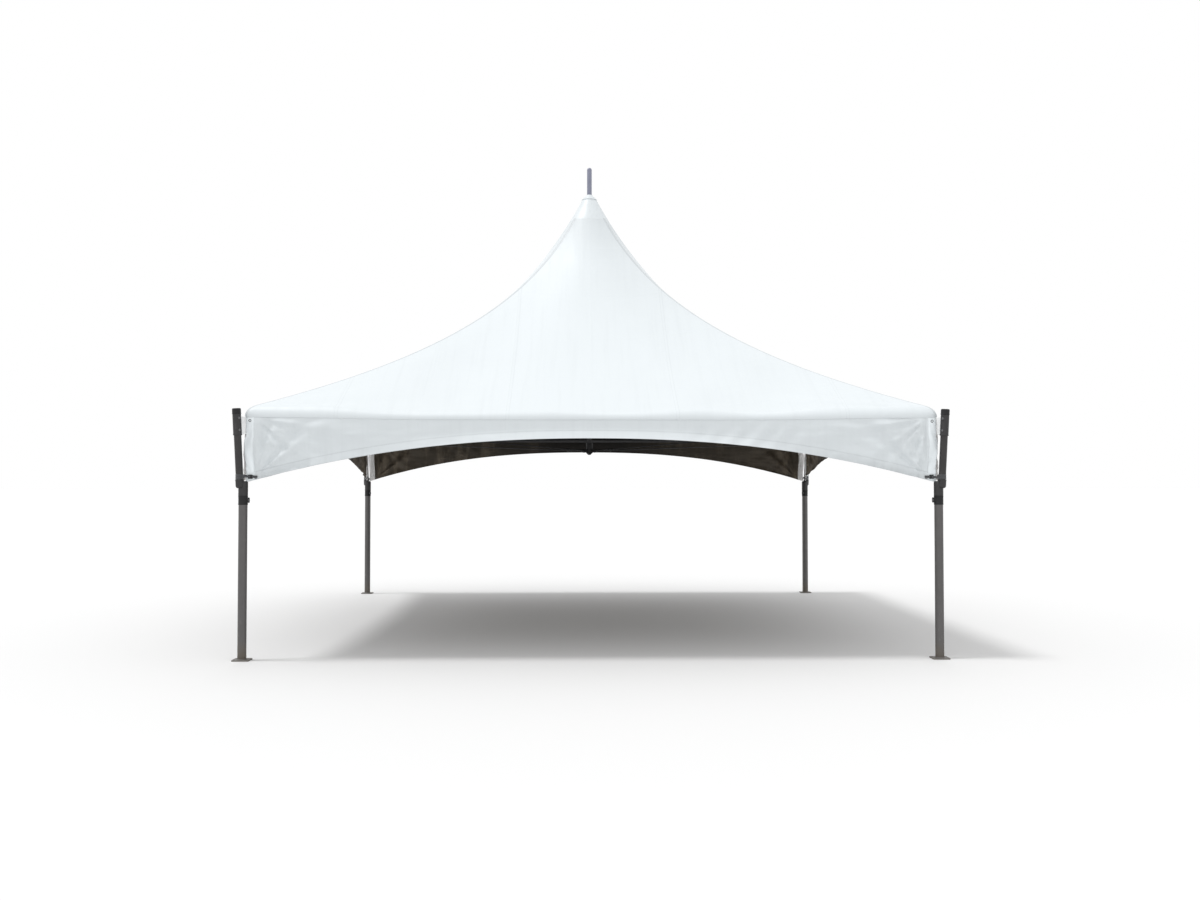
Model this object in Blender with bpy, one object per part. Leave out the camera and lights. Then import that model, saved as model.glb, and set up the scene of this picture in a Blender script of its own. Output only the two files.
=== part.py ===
"""High-peak frame tent, 6.1 m square in plan, with a centre mast that stands on crossed cables.

Metres, +Z up, ground at z = 0, front towards -Y. Each corner part is modelled at the front left
corner and turned about the tent's middle, and each side part is modelled at the front.
"""
import math

import bmesh
import bpy
from mathutils import Matrix, Vector

# Driving dimensions of the plan and the heights
SPAN = 6.096
FABRIC_HALF = 3.050
FABRIC_THICK = 0.004
GAP = 0.0003
POST_TOP_Z = 2.190
JOINT_Z = 1.545
PEAK_Z = 4.790
PEAK_RADIUS = 0.065
FINIAL_TOP_Z = 5.139
MAST_TIP_Z = 1.854

# The roof's edge bends over the eave tube, more softly and a little higher at a corner
EAVE_BEND_MIDDLE = 0.060
EAVE_BEND_CORNER = 0.115
EAVE_Z_MIDDLE = 2.105
EAVE_Z_CORNER = 2.125
EAVE_SLOPE = math.radians(22)
CORNER_ROUND = 0.050
PULL_FROM = math.radians(25)
ROOF_SAG = 0.36
SQUARING = 0.80
PANEL_EDGE = 1.600
SIDE_STEPS = (0.0, 0.27, PANEL_EDGE / (FABRIC_HALF - CORNER_ROUND), 0.70, 0.85, 0.94, 1.0)

# The valance hangs from the eave in three panels, seamed at PANEL_EDGE, with an arched lower edge,
# and ends a hand's width short of the posts
VALANCE_END = 3.030
VALANCE_LOW_MIDDLE = 1.946
VALANCE_LOW_CORNER = 1.562
VALANCE_ARCH_POWER = 2.3

# Posts
LOWER_RADIUS = 0.0381
LOWER_WALL = 0.0032
UPPER_RADIUS = 0.03175
UPPER_WALL = 0.0030
UPPER_SHIFT = 0.0235
UPPER_TOP_OUT = 0.050
PLATE_SIDE = 0.150
PLATE_THICK = 0.010
PLATE_HOLE_RADIUS = 0.009
PLATE_HOLE_OUT = 0.055
SPIGOT_HIGH = 0.110
COLLAR_RADIUS = 0.0415
COLLAR_LOW_Z = 1.350
COLLAR_UP = 0.027
COLLAR_WALL = 0.005
SLEEVE_RADIUS = 0.038
SLEEVE_LONG = 0.235
CAP_THICK = 0.008

# Eave tubes and the corner fittings' sockets
TUBE_RADIUS = 0.0254
TUBE_WALL = 0.0025
TUBE_OUT = 3.0141
TUBE_Z = 2.1200
SOCKET_RADIUS = 0.0300
SOCKET_START = 2.870
SOCKET_END = 2.990
SOCKET_DEEP = 0.065
HUB_OUT = 3.005
HUB_RADIUS = 0.036
HUB_LOW_Z = 2.060
HUB_TOP_Z = 2.122
BRACKET_THICK = 0.010
BRACKET_LOW_Z = 1.965
BRACKET_TOP_Z = 2.119

# Ties at the valance's corners
TIE_Z = 1.595
TIE_HIGH = 0.043
TIE_THICK = 0.005
STRAP_END = 2.925
STRAP_HIGH = 0.026
BUCKLE_END = 2.965
BUCKLE_SIDE = 0.040

# Mast and cables
MAST_RADIUS = 0.0250
MAST_WALL = 0.0032
MAST_LOW_Z = 1.930
CUP_RADIUS = 0.038
CROWN_LOW_Z = 4.700
CROWN_RADIUS = 0.104
CAP_SKIRT_RADIUS = 0.083
CAP_SKIRT_DROP = 0.024
CAP_WALL = 0.0035
CAP_TOP_RADIUS = 0.032
CAP_TOP_UP = 0.035
FINIAL_RADIUS = 0.027
FINIAL_SPIGOT = 0.018
CABLE_RADIUS = 0.005
FERRULE_RADIUS = 0.010
LUG_THICK = 0.010
LUG_CLEAR = 0.0006
LUG_TOP_Z = 2.100
CABLE_HIGH_OUT = 2.925
CABLE_HIGH_Z = 2.080
CABLE_LOW_OUT = 0.055
CABLE_LOW_Z = 1.900

CORNERS = ("front_left", "front_right", "back_right", "back_left")
SIDES = ("front", "right", "back", "left")
LEG = SPAN / 2


def clear_scene():
    """Removes every object of the scene that the script starts in."""
    for old in list(bpy.data.objects):
        bpy.data.objects.remove(old, do_unlink=True)


def material(name, color, roughness, metallic):
    """A Principled material of one colour."""
    made = bpy.data.materials.new(name)
    made.use_nodes = True
    shader = made.node_tree.nodes["Principled BSDF"]
    shader.inputs["Base Color"].default_value = (*color, 1.0)
    shader.inputs["Roughness"].default_value = roughness
    shader.inputs["Metallic"].default_value = metallic
    made.diffuse_color = (*color, 1.0)
    return made


def finishes():
    """The part's finishes, by name."""
    return {
        "fabric": material("canopy_fabric", (0.90, 0.92, 0.93), 0.55, 0.0),
        "post": material("post_grey", (0.145, 0.140, 0.140), 0.45, 0.7),
        "dark": material("fitting_dark", (0.035, 0.035, 0.037), 0.50, 0.6),
        "tube": material("mill_aluminium", (0.60, 0.61, 0.62), 0.35, 0.9),
        "plate": material("galvanised_plate", (0.33, 0.33, 0.34), 0.50, 0.8),
        "cable": material("galvanised_cable", (0.38, 0.38, 0.39), 0.45, 0.9),
        "strap": material("webbing_dark", (0.16, 0.17, 0.18), 0.80, 0.0),
        "cap": material("peak_cap_grey", (0.46, 0.47, 0.56), 0.40, 0.3),
    }


def put(name, mesh_data, finish, parent=None):
    """Makes a smooth-shaded object of a finished bmesh."""
    bmesh.ops.remove_doubles(mesh_data, verts=mesh_data.verts, dist=0.00002)
    bmesh.ops.recalc_face_normals(mesh_data, faces=mesh_data.faces)
    mesh = bpy.data.meshes.new(name)
    mesh_data.to_mesh(mesh)
    mesh_data.free()
    made = bpy.data.objects.new(name, mesh)
    bpy.context.scene.collection.objects.link(made)
    mesh.materials.append(finish)
    mesh.shade_smooth()
    mesh.set_sharp_from_angle(angle=math.radians(35))
    made.parent = parent
    return made


def turned_empty(name, quarter_turns):
    """An empty at the tent's middle that turns its children about the vertical."""
    made = bpy.data.objects.new(name, None)
    made.rotation_euler = (0.0, 0.0, quarter_turns * math.pi / 2)
    bpy.context.scene.collection.objects.link(made)
    return made


def spun(profile, segments):
    """A closed body turned about +Z from (radius, z) points, listed anticlockwise in that plane."""
    body = bmesh.new()
    verts = [body.verts.new((radius, 0.0, z)) for radius, z in profile]
    closed = all(radius > 0 for radius, z in profile)
    edges = [body.edges.new(pair) for pair in zip(verts, verts[1:])]
    if closed:
        edges.append(body.edges.new((verts[-1], verts[0])))
    bmesh.ops.spin(body, geom=verts + edges, cent=(0, 0, 0), axis=(0, 0, 1),
                   angle=2 * math.pi, steps=segments, use_merge=True, use_duplicate=False)
    bmesh.ops.remove_doubles(body, verts=body.verts, dist=0.00002)
    loose = [vert for vert in body.verts if not vert.link_faces]
    bmesh.ops.delete(body, geom=loose, context="VERTS")
    return body


def tube(radius, wall, low, high, segments=20):
    """A tube along +Z with open ends."""
    inner = radius - wall
    return spun([(inner, low), (radius, low), (radius, high), (inner, high)], segments)


def rod(radius, low, high, segments=20):
    """A solid rod along +Z."""
    return spun([(0.0, low), (radius, low), (radius, high), (0.0, high)], segments)


def block(low, high):
    """A box from its lowest to its highest corner."""
    body = bmesh.new()
    size = [b - a for a, b in zip(low, high)]
    middle = [(a + b) / 2 for a, b in zip(low, high)]
    bmesh.ops.create_cube(body, size=1.0, matrix=Matrix.Translation(middle) @ Matrix.Diagonal((*size, 1.0)))
    return body


def aimed(start, end):
    """The matrix that puts +Z along start to end, with its origin at start."""
    way = Vector(end) - Vector(start)
    return Matrix.Translation(start) @ way.to_track_quat("Z", "Y").to_matrix().to_4x4()


def moved(body, matrix):
    """The same bmesh after a matrix."""
    bmesh.ops.transform(body, matrix=matrix, verts=body.verts)
    return body


def helper(name, body):
    """A hidden wire object that a Boolean modifier uses."""
    mesh = bpy.data.meshes.new(name)
    bmesh.ops.recalc_face_normals(body, faces=body.faces)
    body.to_mesh(mesh)
    body.free()
    made = bpy.data.objects.new(name, mesh)
    bpy.context.scene.collection.objects.link(made)
    return made


def combined(name, base, steps, finish, parent):
    """Joins and cuts bodies in order, and keeps the result as one mesh."""
    work = helper(name + "_base", base)
    tools = []
    for number, (operation, body) in enumerate(steps):
        tool = helper(f"{name}_tool_{number}", body)
        tool.hide_render = True
        tool.display_type = "WIRE"
        tools.append(tool)
        step = work.modifiers.new(f"step_{number}", "BOOLEAN")
        step.operation = operation
        step.solver = "EXACT"
        step.object = tool
    bpy.context.view_layer.update()
    result = bpy.data.meshes.new_from_object(
        work.evaluated_get(bpy.context.evaluated_depsgraph_get()))
    body = bmesh.new()
    body.from_mesh(result)
    for old in tools + [work]:
        bpy.data.objects.remove(old, do_unlink=True)
    bpy.data.meshes.remove(result)
    bmesh.ops.dissolve_limit(body, angle_limit=math.radians(0.5), verts=body.verts, edges=body.edges)
    return put(name, body, finish, parent)


def post_point(along):
    """A point on the upper post's axis, 0 at its foot and 1 at its top, at the front left corner."""
    low = LEG + UPPER_SHIFT
    high = LEG + UPPER_TOP_OUT
    out = low + (high - low) * along
    return Vector((-out, -out, JOINT_Z + (POST_TOP_Z - JOINT_Z) * along))


def post_matrix():
    """The upper post's own space: +Z up its axis, origin at its foot."""
    return aimed(post_point(0.0), post_point(1.0))


def post_length():
    """The length of the upper post's axis."""
    return (post_point(1.0) - post_point(0.0)).length


def foot_plate(corner, finish, parent):
    """A steel plate with stake holes and a spigot that stands inside the lower tube."""
    half = PLATE_SIDE / 2
    plate = block((-half, -half, 0.0), (half, half, PLATE_THICK))
    rounded = [edge for edge in plate.edges if abs(edge.verts[0].co.z - edge.verts[1].co.z) > 0.001]
    bmesh.ops.bevel(plate, geom=rounded, offset=0.015, segments=2, profile=0.5, affect="EDGES")
    steps = [("UNION", rod(LOWER_RADIUS - LOWER_WALL - 2 * GAP, PLATE_THICK / 2, SPIGOT_HIGH, 16))]
    for x in (-PLATE_HOLE_OUT, PLATE_HOLE_OUT):
        for y in (-PLATE_HOLE_OUT, PLATE_HOLE_OUT):
            hole = rod(PLATE_HOLE_RADIUS, -0.01, PLATE_THICK + 0.01, 10)
            steps.append(("DIFFERENCE", moved(hole, Matrix.Translation((x, y, 0.0)))))
    made = combined("foot_plate_" + corner, plate, steps, finish, parent)
    made.location = (-LEG, -LEG, 0.0)


def leg_lower(corner, finish, parent):
    """The wide vertical tube from the plate to the joint."""
    body = tube(LOWER_RADIUS, LOWER_WALL, PLATE_THICK + GAP, JOINT_Z - 0.01)
    made = put("leg_lower_" + corner, body, finish, parent)
    made.location = (-LEG, -LEG, 0.0)


def leg_collar(corner, finish, parent):
    """The dark joint: a ring round the lower tube, with a socket set outwards for the upper tube."""
    lower = Matrix.Translation((-LEG, -LEG, 0.0))
    upper = post_matrix()
    base = moved(rod(COLLAR_RADIUS, COLLAR_LOW_Z, JOINT_Z + 0.012), lower)
    steps = [
        ("UNION", moved(rod(UPPER_RADIUS + COLLAR_WALL, -0.050, COLLAR_UP), upper)),
        ("DIFFERENCE", moved(rod(LOWER_RADIUS + GAP, COLLAR_LOW_Z - 0.02, JOINT_Z - 0.01 + GAP), lower)),
        ("DIFFERENCE", moved(rod(UPPER_RADIUS + GAP, 0.010, COLLAR_UP + 0.02), upper)),
    ]
    combined("leg_collar_" + corner, base, steps, finish, parent)


def leg_upper(corner, finish, parent):
    """The thinner tube, which leans outwards into the corner fitting."""
    body = tube(UPPER_RADIUS, UPPER_WALL, 0.010 + GAP, post_length() - CAP_THICK - GAP)
    made = put("leg_upper_" + corner, body, finish, parent)
    made.matrix_local = post_matrix()


def corner_fitting(corner, finish, parent):
    """The post's head: a capped sleeve, a bracket to a hub, and two sockets for the eave tubes."""
    post = post_matrix()
    long = post_length()
    sleeve = moved(rod(SLEEVE_RADIUS, long - SLEEVE_LONG, long), post)
    bore = moved(rod(UPPER_RADIUS + GAP, long - SLEEVE_LONG - 0.02, long - CAP_THICK), post)
    hub = moved(rod(HUB_RADIUS, HUB_LOW_Z, HUB_TOP_Z), Matrix.Translation((-HUB_OUT, -HUB_OUT, 0.0)))
    diagonal = Matrix.Rotation(math.radians(45), 4, "Z")
    near = HUB_OUT * math.sqrt(2)
    far = abs(post_point(1.0).x) * math.sqrt(2) - SLEEVE_RADIUS + 0.006
    bracket = moved(block((-far, -BRACKET_THICK / 2, BRACKET_LOW_Z),
                          (-near, BRACKET_THICK / 2, BRACKET_TOP_Z)), diagonal)
    lug_in = CABLE_HIGH_OUT * math.sqrt(2) + LUG_CLEAR
    lug = moved(block((-near, -LUG_THICK / 2, HUB_LOW_Z), (-lug_in, LUG_THICK / 2, LUG_TOP_Z)), diagonal)
    steps = [("UNION", bracket), ("UNION", hub), ("UNION", lug)]
    for way in ("X", "Y"):
        steps.append(("UNION", socket(way, SOCKET_RADIUS, -SOCKET_END, -SOCKET_START)))
    for way in ("X", "Y"):
        steps.append(("DIFFERENCE", socket(way, TUBE_RADIUS + GAP, -SOCKET_START - SOCKET_DEEP - GAP,
                                           -SOCKET_START + 0.02)))
    steps.append(("DIFFERENCE", bore))
    combined("corner_fitting_" + corner, sleeve, steps, finish, parent)


def socket(way, radius, start, end):
    """A rod along an eave tube's axis, between two places on it."""
    if way == "X":
        return moved(rod(radius, 0.0, end - start, 16),
                     aimed((start, -TUBE_OUT, TUBE_Z), (end, -TUBE_OUT, TUBE_Z)))
    return moved(rod(radius, 0.0, end - start, 16),
                 aimed((-TUBE_OUT, start, TUBE_Z), (-TUBE_OUT, end, TUBE_Z)))


def valance_tie(corner, finish, parent):
    """A band round the upper post, with a strap and a buckle on each neighbouring valance."""
    along = (TIE_Z - JOINT_Z) / (POST_TOP_Z - JOINT_Z)
    centre = post_point(along)
    post = post_matrix()
    middle = post_length() * along
    outer = UPPER_RADIUS + GAP + TIE_THICK
    band = moved(rod(outer, middle - TIE_HIGH / 2, middle + TIE_HIGH / 2), post)
    face = -FABRIC_HALF - GAP
    low = centre.z - STRAP_HIGH / 2
    high = centre.z + STRAP_HIGH / 2
    steps = []
    for way in ("X", "Y"):
        strap = block((centre.x, face - 0.004, low), (-STRAP_END, face, high))
        buckle = block((-BUCKLE_END - BUCKLE_SIDE, face - 0.009, centre.z - BUCKLE_SIDE / 2),
                       (-BUCKLE_END, face, centre.z + BUCKLE_SIDE / 2))
        for body in (strap, buckle):
            if way == "Y":
                moved(body, Matrix(((0, 1, 0, 0), (1, 0, 0, 0), (0, 0, 1, 0), (0, 0, 0, 1))))
            steps.append(("UNION", body))
    bore = rod(UPPER_RADIUS + GAP, middle - TIE_HIGH, middle + TIE_HIGH)
    steps.append(("DIFFERENCE", moved(bore, post)))
    combined("valance_tie_" + corner, band, steps, finish, parent)


def eave_tube(side, finish, parent):
    """The tube under the roof's edge, between two corner fittings."""
    half = SOCKET_START + SOCKET_DEEP
    made = put("eave_tube_" + side, tube(TUBE_RADIUS, TUBE_WALL, -half, half, 16), finish, parent)
    made.location = (0.0, -TUBE_OUT, TUBE_Z)
    made.rotation_euler = (0.0, math.pi / 2, 0.0)


def side_angles(flat_fractions, turn_steps, turn):
    """Directions, from a side's outward normal, of points along the side and round its corner."""
    straight = FABRIC_HALF - CORNER_ROUND
    right = [math.atan2(straight * part, FABRIC_HALF) for part in flat_fractions]
    for step in range(1, turn_steps + 1):
        bend = turn * step / turn_steps
        x = straight + CORNER_ROUND * math.sin(bend)
        y = straight + CORNER_ROUND * math.cos(bend)
        right.append(math.atan2(x, y))
    return [-angle for angle in reversed(right[1:])] + right


def outline_factor(angle):
    """How much further than FABRIC_HALF the eave's rounded square reaches in a direction."""
    angle = abs(angle)
    straight = FABRIC_HALF - CORNER_ROUND
    if math.tan(angle) <= straight / FABRIC_HALF:
        return 1 / math.cos(angle)
    along = straight * (math.cos(angle) + math.sin(angle))
    across = straight * (math.cos(angle) - math.sin(angle))
    return (along + math.sqrt(CORNER_ROUND ** 2 - across ** 2)) / FABRIC_HALF


def corner_pull(angle):
    """0 along a side and 1 at a corner, with a soft change."""
    part = (abs(angle) - PULL_FROM) / (math.pi / 4 - PULL_FROM)
    part = min(max(part, 0.0), 1.0)
    return part * part * (3 - 2 * part)


def eave_values(angle):
    """The eave's bend radius and the height where the cloth becomes vertical."""
    pull = corner_pull(angle)
    bend = EAVE_BEND_MIDDLE + (EAVE_BEND_CORNER - EAVE_BEND_MIDDLE) * pull
    return bend, EAVE_Z_MIDDLE + (EAVE_Z_CORNER - EAVE_Z_MIDDLE) * pull


def roof_profile(angle, rows, bend_rows):
    """(radius, z) points from the peak to the eave: a logarithm, then the arc over the eave tube."""
    bend, level = eave_values(angle)
    edge = FABRIC_HALF - bend + bend * math.sin(EAVE_SLOPE)
    edge_z = level + bend * math.cos(EAVE_SLOPE)
    points = []
    for row in range(rows + 1):
        part = (row / rows) ** 1.25
        fall = math.log((1 + ROOF_SAG) / (part + ROOF_SAG)) / math.log((1 + ROOF_SAG) / ROOF_SAG)
        points.append((PEAK_RADIUS + (edge - PEAK_RADIUS) * part, edge_z + (PEAK_Z - edge_z) * fall))
    for row in range(1, bend_rows + 1):
        turn = EAVE_SLOPE + (math.pi / 2 - EAVE_SLOPE) * row / bend_rows
        points.append((FABRIC_HALF - bend + bend * math.sin(turn), level + bend * math.cos(turn)))
    return points


def inset_profile(points, thick):
    """The same profile moved inwards by the cloth's thickness, with its ends kept level or upright."""
    moved_points = []
    for index, (radius, z) in enumerate(points):
        before = points[max(index - 1, 0)]
        after = points[min(index + 1, len(points) - 1)]
        along = Vector((after[0] - before[0], after[1] - before[1])).normalized()
        if index == len(points) - 1:
            along = Vector((0.0, -1.0))
        moved_points.append((radius + along.y * thick, z - along.x * thick))
    return moved_points


def roof_point(radius, z, angle):
    """A point of the front gore: the plan is round at the peak and square at the eave."""
    share = max((radius - PEAK_RADIUS) / (FABRIC_HALF - PEAK_RADIUS), 0.0) ** SQUARING
    reach = radius * ((1 - share) + share * outline_factor(angle))
    return (reach * math.sin(angle), -reach * math.cos(angle), z)


def shell(outer, inner):
    """A closed body between two grids of points of the same rows and columns."""
    body = bmesh.new()
    rows = len(outer)
    columns = len(outer[0])
    top = [[body.verts.new(point) for point in line] for line in outer]
    under = [[body.verts.new(point) for point in line] for line in inner]
    for row in range(rows - 1):
        for column in range(columns - 1):
            right, down = column + 1, row + 1
            body.faces.new((top[row][column], top[down][column], top[down][right], top[row][right]))
            body.faces.new((under[row][column], under[row][right], under[down][right], under[down][column]))
    ring = [(0, column) for column in range(columns)]
    ring += [(row, columns - 1) for row in range(1, rows)]
    ring += [(rows - 1, column) for column in range(columns - 2, -1, -1)]
    ring += [(row, 0) for row in range(rows - 2, 0, -1)]
    for (row, column), (next_row, next_column) in zip(ring, ring[1:] + ring[:1]):
        body.faces.new((top[row][column], top[next_row][next_column],
                        under[next_row][next_column], under[row][column]))
    return body


def roof(side, finish, parent):
    """One gore of the canopy, from the peak to the eave and from hip to hip."""
    angles = side_angles(SIDE_STEPS, 2, math.pi / 4)
    outer = []
    inner = []
    for angle in angles:
        profile = roof_profile(angle, 9, 4)
        outer.append([roof_point(radius, z, angle) for radius, z in profile])
        inner.append([roof_point(radius, z, angle) for radius, z in inset_profile(profile, FABRIC_THICK)])
    made = put("roof_" + side, shell(outer, inner), finish, parent)
    made.location = (0.0, -GAP * 0.75, 0.0)


def valance(quarter, finish, parent):
    """The hanging border under one eave: a middle panel, and two end panels that stop short of the posts."""
    seam_in = math.atan2(PANEL_EDGE - GAP / 2, FABRIC_HALF)
    seam_out = math.atan2(PANEL_EDGE + GAP / 2, FABRIC_HALF)
    last = math.atan2(VALANCE_END, FABRIC_HALF)
    columns = side_angles(SIDE_STEPS, 0, 0.0)
    middle = [-seam_in] + [angle for angle in columns if abs(angle) < seam_in] + [seam_in]
    end = [seam_out] + [angle for angle in columns if seam_out < angle < last] + [last]
    side = SIDES[quarter]
    valance_panel("valance_" + side + "_middle", middle, finish, parent)
    valance_panel("valance_" + side + "_" + SIDES[(quarter + 1) % 4], end, finish, parent)
    mirrored = [-angle for angle in reversed(end)]
    valance_panel("valance_" + side + "_" + SIDES[quarter - 1], mirrored, finish, parent)


def valance_panel(name, angles, finish, parent):
    """One panel of the border, between the first and the last of the given directions."""
    outer = []
    inner = []
    for angle in angles:
        reach = FABRIC_HALF * outline_factor(angle)
        x, y = reach * math.sin(angle), -reach * math.cos(angle)
        part = min(abs(x) / (FABRIC_HALF - CORNER_ROUND), 1.0) ** VALANCE_ARCH_POWER
        low = VALANCE_LOW_MIDDLE + (VALANCE_LOW_CORNER - VALANCE_LOW_MIDDLE) * part
        high = eave_values(angle)[1] - GAP
        shrink = 1 - FABRIC_THICK / (reach * math.cos(angle))
        outer.append([(x, y, high), (x, y, low)])
        inner.append([(x * shrink, y * shrink, high), (x * shrink, y * shrink, low)])
    put(name, shell(outer, inner), finish, parent)


def mast(finish):
    """The centre pole, from its cup to the peak."""
    put("mast", tube(MAST_RADIUS, MAST_WALL, MAST_LOW_Z, PEAK_Z), finish)


def mast_base(finish):
    """The cup that the mast stands in, with a pointed foot and a lug for each cable."""
    base = spun([(0.0, MAST_TIP_Z), (0.016, MAST_TIP_Z), (CUP_RADIUS, CABLE_LOW_Z - 0.022),
                 (CUP_RADIUS, MAST_LOW_Z + 0.060), (0.0, MAST_LOW_Z + 0.060)], 20)
    steps = []
    for quarter in range(4):
        lug = block((0.0, -LUG_THICK / 2, CABLE_LOW_Z - 0.018),
                    (CABLE_LOW_OUT * math.sqrt(2) - LUG_CLEAR, LUG_THICK / 2, CABLE_LOW_Z + 0.018))
        turn = Matrix.Rotation(math.radians(45 + 90 * quarter), 4, "Z")
        steps.append(("UNION", moved(lug, turn)))
    steps.append(("DIFFERENCE", rod(MAST_RADIUS + GAP, MAST_LOW_Z - GAP, MAST_LOW_Z + 0.08)))
    combined("mast_base", base, steps, finish, None)


def peak_crown(finish):
    """The cone under the peak that holds the roof's gores out from the mast."""
    inner = MAST_RADIUS + GAP
    put("peak_crown", spun([(inner, CROWN_LOW_Z), (CROWN_RADIUS, CROWN_LOW_Z),
                            (PEAK_RADIUS - 0.009, PEAK_Z - 0.008), (PEAK_RADIUS - 0.020, PEAK_Z - 0.0045),
                            (inner, PEAK_Z - 0.0045)], 20), finish)


def peak_cap(finish):
    """The cone over the roof's top edges, with a skirt that lies round the cloth."""
    bore = FINIAL_SPIGOT + GAP
    rest = PEAK_Z + GAP
    skirt = PEAK_Z - CAP_SKIRT_DROP
    seat = PEAK_RADIUS + 0.002
    put("peak_cap", spun([(bore, rest), (seat, rest), (CAP_SKIRT_RADIUS, skirt),
                          (CAP_SKIRT_RADIUS + CAP_WALL, skirt), (seat + CAP_WALL, rest + 0.004),
                          (CAP_TOP_RADIUS, PEAK_Z + CAP_TOP_UP), (bore, PEAK_Z + CAP_TOP_UP)], 20), finish)


def finial(finish):
    """The round-topped pole end above the peak, with a spigot into the mast."""
    low = PEAK_Z + CAP_TOP_UP + GAP
    foot = PEAK_Z - 0.100
    profile = [(0.0, foot), (FINIAL_SPIGOT, foot), (FINIAL_SPIGOT, low), (FINIAL_RADIUS, low)]
    for step in range(5):
        turn = math.pi / 2 * step / 5
        profile.append((FINIAL_RADIUS * math.cos(turn), FINIAL_TOP_Z - FINIAL_RADIUS * (1 - math.sin(turn))))
    profile.append((0.0, FINIAL_TOP_Z))
    put("finial", spun(profile, 20), finish)


def cross_cable(corner, finish, parent):
    """A taut cable from a corner fitting's lug down to the foot of the mast, with an end ferrule each."""
    high = Vector((-CABLE_HIGH_OUT, -CABLE_HIGH_OUT, CABLE_HIGH_Z))
    low = Vector((-CABLE_LOW_OUT, -CABLE_LOW_OUT, CABLE_LOW_Z))
    long = (high - low).length
    end = 0.120
    body = spun([(0.0, GAP), (FERRULE_RADIUS, GAP), (FERRULE_RADIUS, end), (CABLE_RADIUS, end + 0.02),
                 (CABLE_RADIUS, long - end - 0.02), (FERRULE_RADIUS, long - end),
                 (FERRULE_RADIUS, long - GAP), (0.0, long - GAP)], 10)
    made = put("cross_cable_" + corner, body, finish, parent)
    made.matrix_local = aimed(low, high)


def build():
    """Builds the whole tent."""
    clear_scene()
    finish = finishes()
    for quarter, corner in enumerate(CORNERS):
        turn = turned_empty("corner_turn_" + corner, quarter)
        bpy.context.view_layer.update()
        foot_plate(corner, finish["plate"], turn)
        leg_lower(corner, finish["post"], turn)
        leg_collar(corner, finish["dark"], turn)
        leg_upper(corner, finish["post"], turn)
        corner_fitting(corner, finish["dark"], turn)
        valance_tie(corner, finish["strap"], turn)
        cross_cable(corner, finish["cable"], turn)
    for quarter, side in enumerate(SIDES):
        turn = turned_empty("side_turn_" + side, quarter)
        eave_tube(side, finish["tube"], turn)
        roof(side, finish["fabric"], turn)
        valance(quarter, finish["fabric"], turn)
    mast(finish["tube"])
    mast_base(finish["dark"])
    peak_crown(finish["tube"])
    peak_cap(finish["cap"])
    finial(finish["cap"])


build()
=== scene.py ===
"""Builds the looks of a high-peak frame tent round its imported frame.

Metres, +Z up, front towards -Y. Corner pieces are worked out at the front left corner and turned
about the tent's middle by quarter turns, and side pieces are worked out at the front.
"""

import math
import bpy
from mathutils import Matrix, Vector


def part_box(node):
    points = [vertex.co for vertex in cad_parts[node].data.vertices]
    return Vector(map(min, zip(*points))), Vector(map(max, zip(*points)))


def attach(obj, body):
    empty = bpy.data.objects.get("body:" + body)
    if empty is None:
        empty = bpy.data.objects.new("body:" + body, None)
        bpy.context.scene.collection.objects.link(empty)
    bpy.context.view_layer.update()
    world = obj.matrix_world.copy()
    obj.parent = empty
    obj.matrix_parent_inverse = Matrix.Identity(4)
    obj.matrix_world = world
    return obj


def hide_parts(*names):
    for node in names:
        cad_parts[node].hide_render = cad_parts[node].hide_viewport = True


bl_info = {
    "name": "High-Peak Frame Tent",
    "version": (1, 0, 0),
    "blender": (4, 5, 0),
    "location": "3D View > Sidebar > Tent",
    "description": "Builds the cloth, posts, fittings, mast and cables of a frame tent, and a pale stage",
    "category": "Add Mesh",
}

from functools import partial

import bmesh
import bpy
import numpy as np
from bpy.props import FloatProperty, FloatVectorProperty, IntProperty, PointerProperty
from mathutils import Matrix, Vector

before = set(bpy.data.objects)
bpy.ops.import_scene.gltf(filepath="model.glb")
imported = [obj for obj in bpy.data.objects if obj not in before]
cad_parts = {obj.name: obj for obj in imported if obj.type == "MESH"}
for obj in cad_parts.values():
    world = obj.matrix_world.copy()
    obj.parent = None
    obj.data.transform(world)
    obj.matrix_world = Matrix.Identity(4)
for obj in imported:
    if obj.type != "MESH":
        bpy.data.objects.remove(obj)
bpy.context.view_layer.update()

CORNERS = ("front_left", "front_right", "back_right", "back_left")
SIDES = ("front", "right", "back", "left")

# Sizes read from the frame, where each box has a low and a high corner
LEG_LOW, LEG_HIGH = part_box("leg_lower_front_left")
TUBE_LOW, TUBE_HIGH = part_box("eave_tube_front")
CLOTH_HALF = -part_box("valance_front_middle")[0].y
VALANCE_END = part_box("valance_front_right")[1].x
PEAK_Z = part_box("roof_front")[1].z
LEG = -(LEG_LOW.x + LEG_HIGH.x) / 2
LOWER_RADIUS = -LEG_LOW.x - LEG
LOWER_BASE_Z = LEG_LOW.z
LOWER_TOP_Z = LEG_HIGH.z
TUBE_OUT = -(TUBE_LOW.y + TUBE_HIGH.y) / 2
TUBE_Z = (TUBE_LOW.z + TUBE_HIGH.z) / 2
TUBE_RADIUS = (TUBE_HIGH.z - TUBE_LOW.z) / 2
TUBE_HALF_LONG = TUBE_HIGH.x
MAST_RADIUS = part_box("mast")[1].x
MAST_LOW_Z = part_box("mast")[0].z
MAST_TIP_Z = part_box("mast_base")[0].z
FINIAL_TOP_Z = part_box("finial")[1].z
FINIAL_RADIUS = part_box("finial")[1].x
CROWN_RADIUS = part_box("peak_crown")[1].x
CROWN_LOW_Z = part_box("peak_crown")[0].z
CAP_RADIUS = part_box("peak_cap")[1].x
CAP_LOW_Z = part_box("peak_cap")[0].z
CAP_TOP_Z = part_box("peak_cap")[1].z
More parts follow.
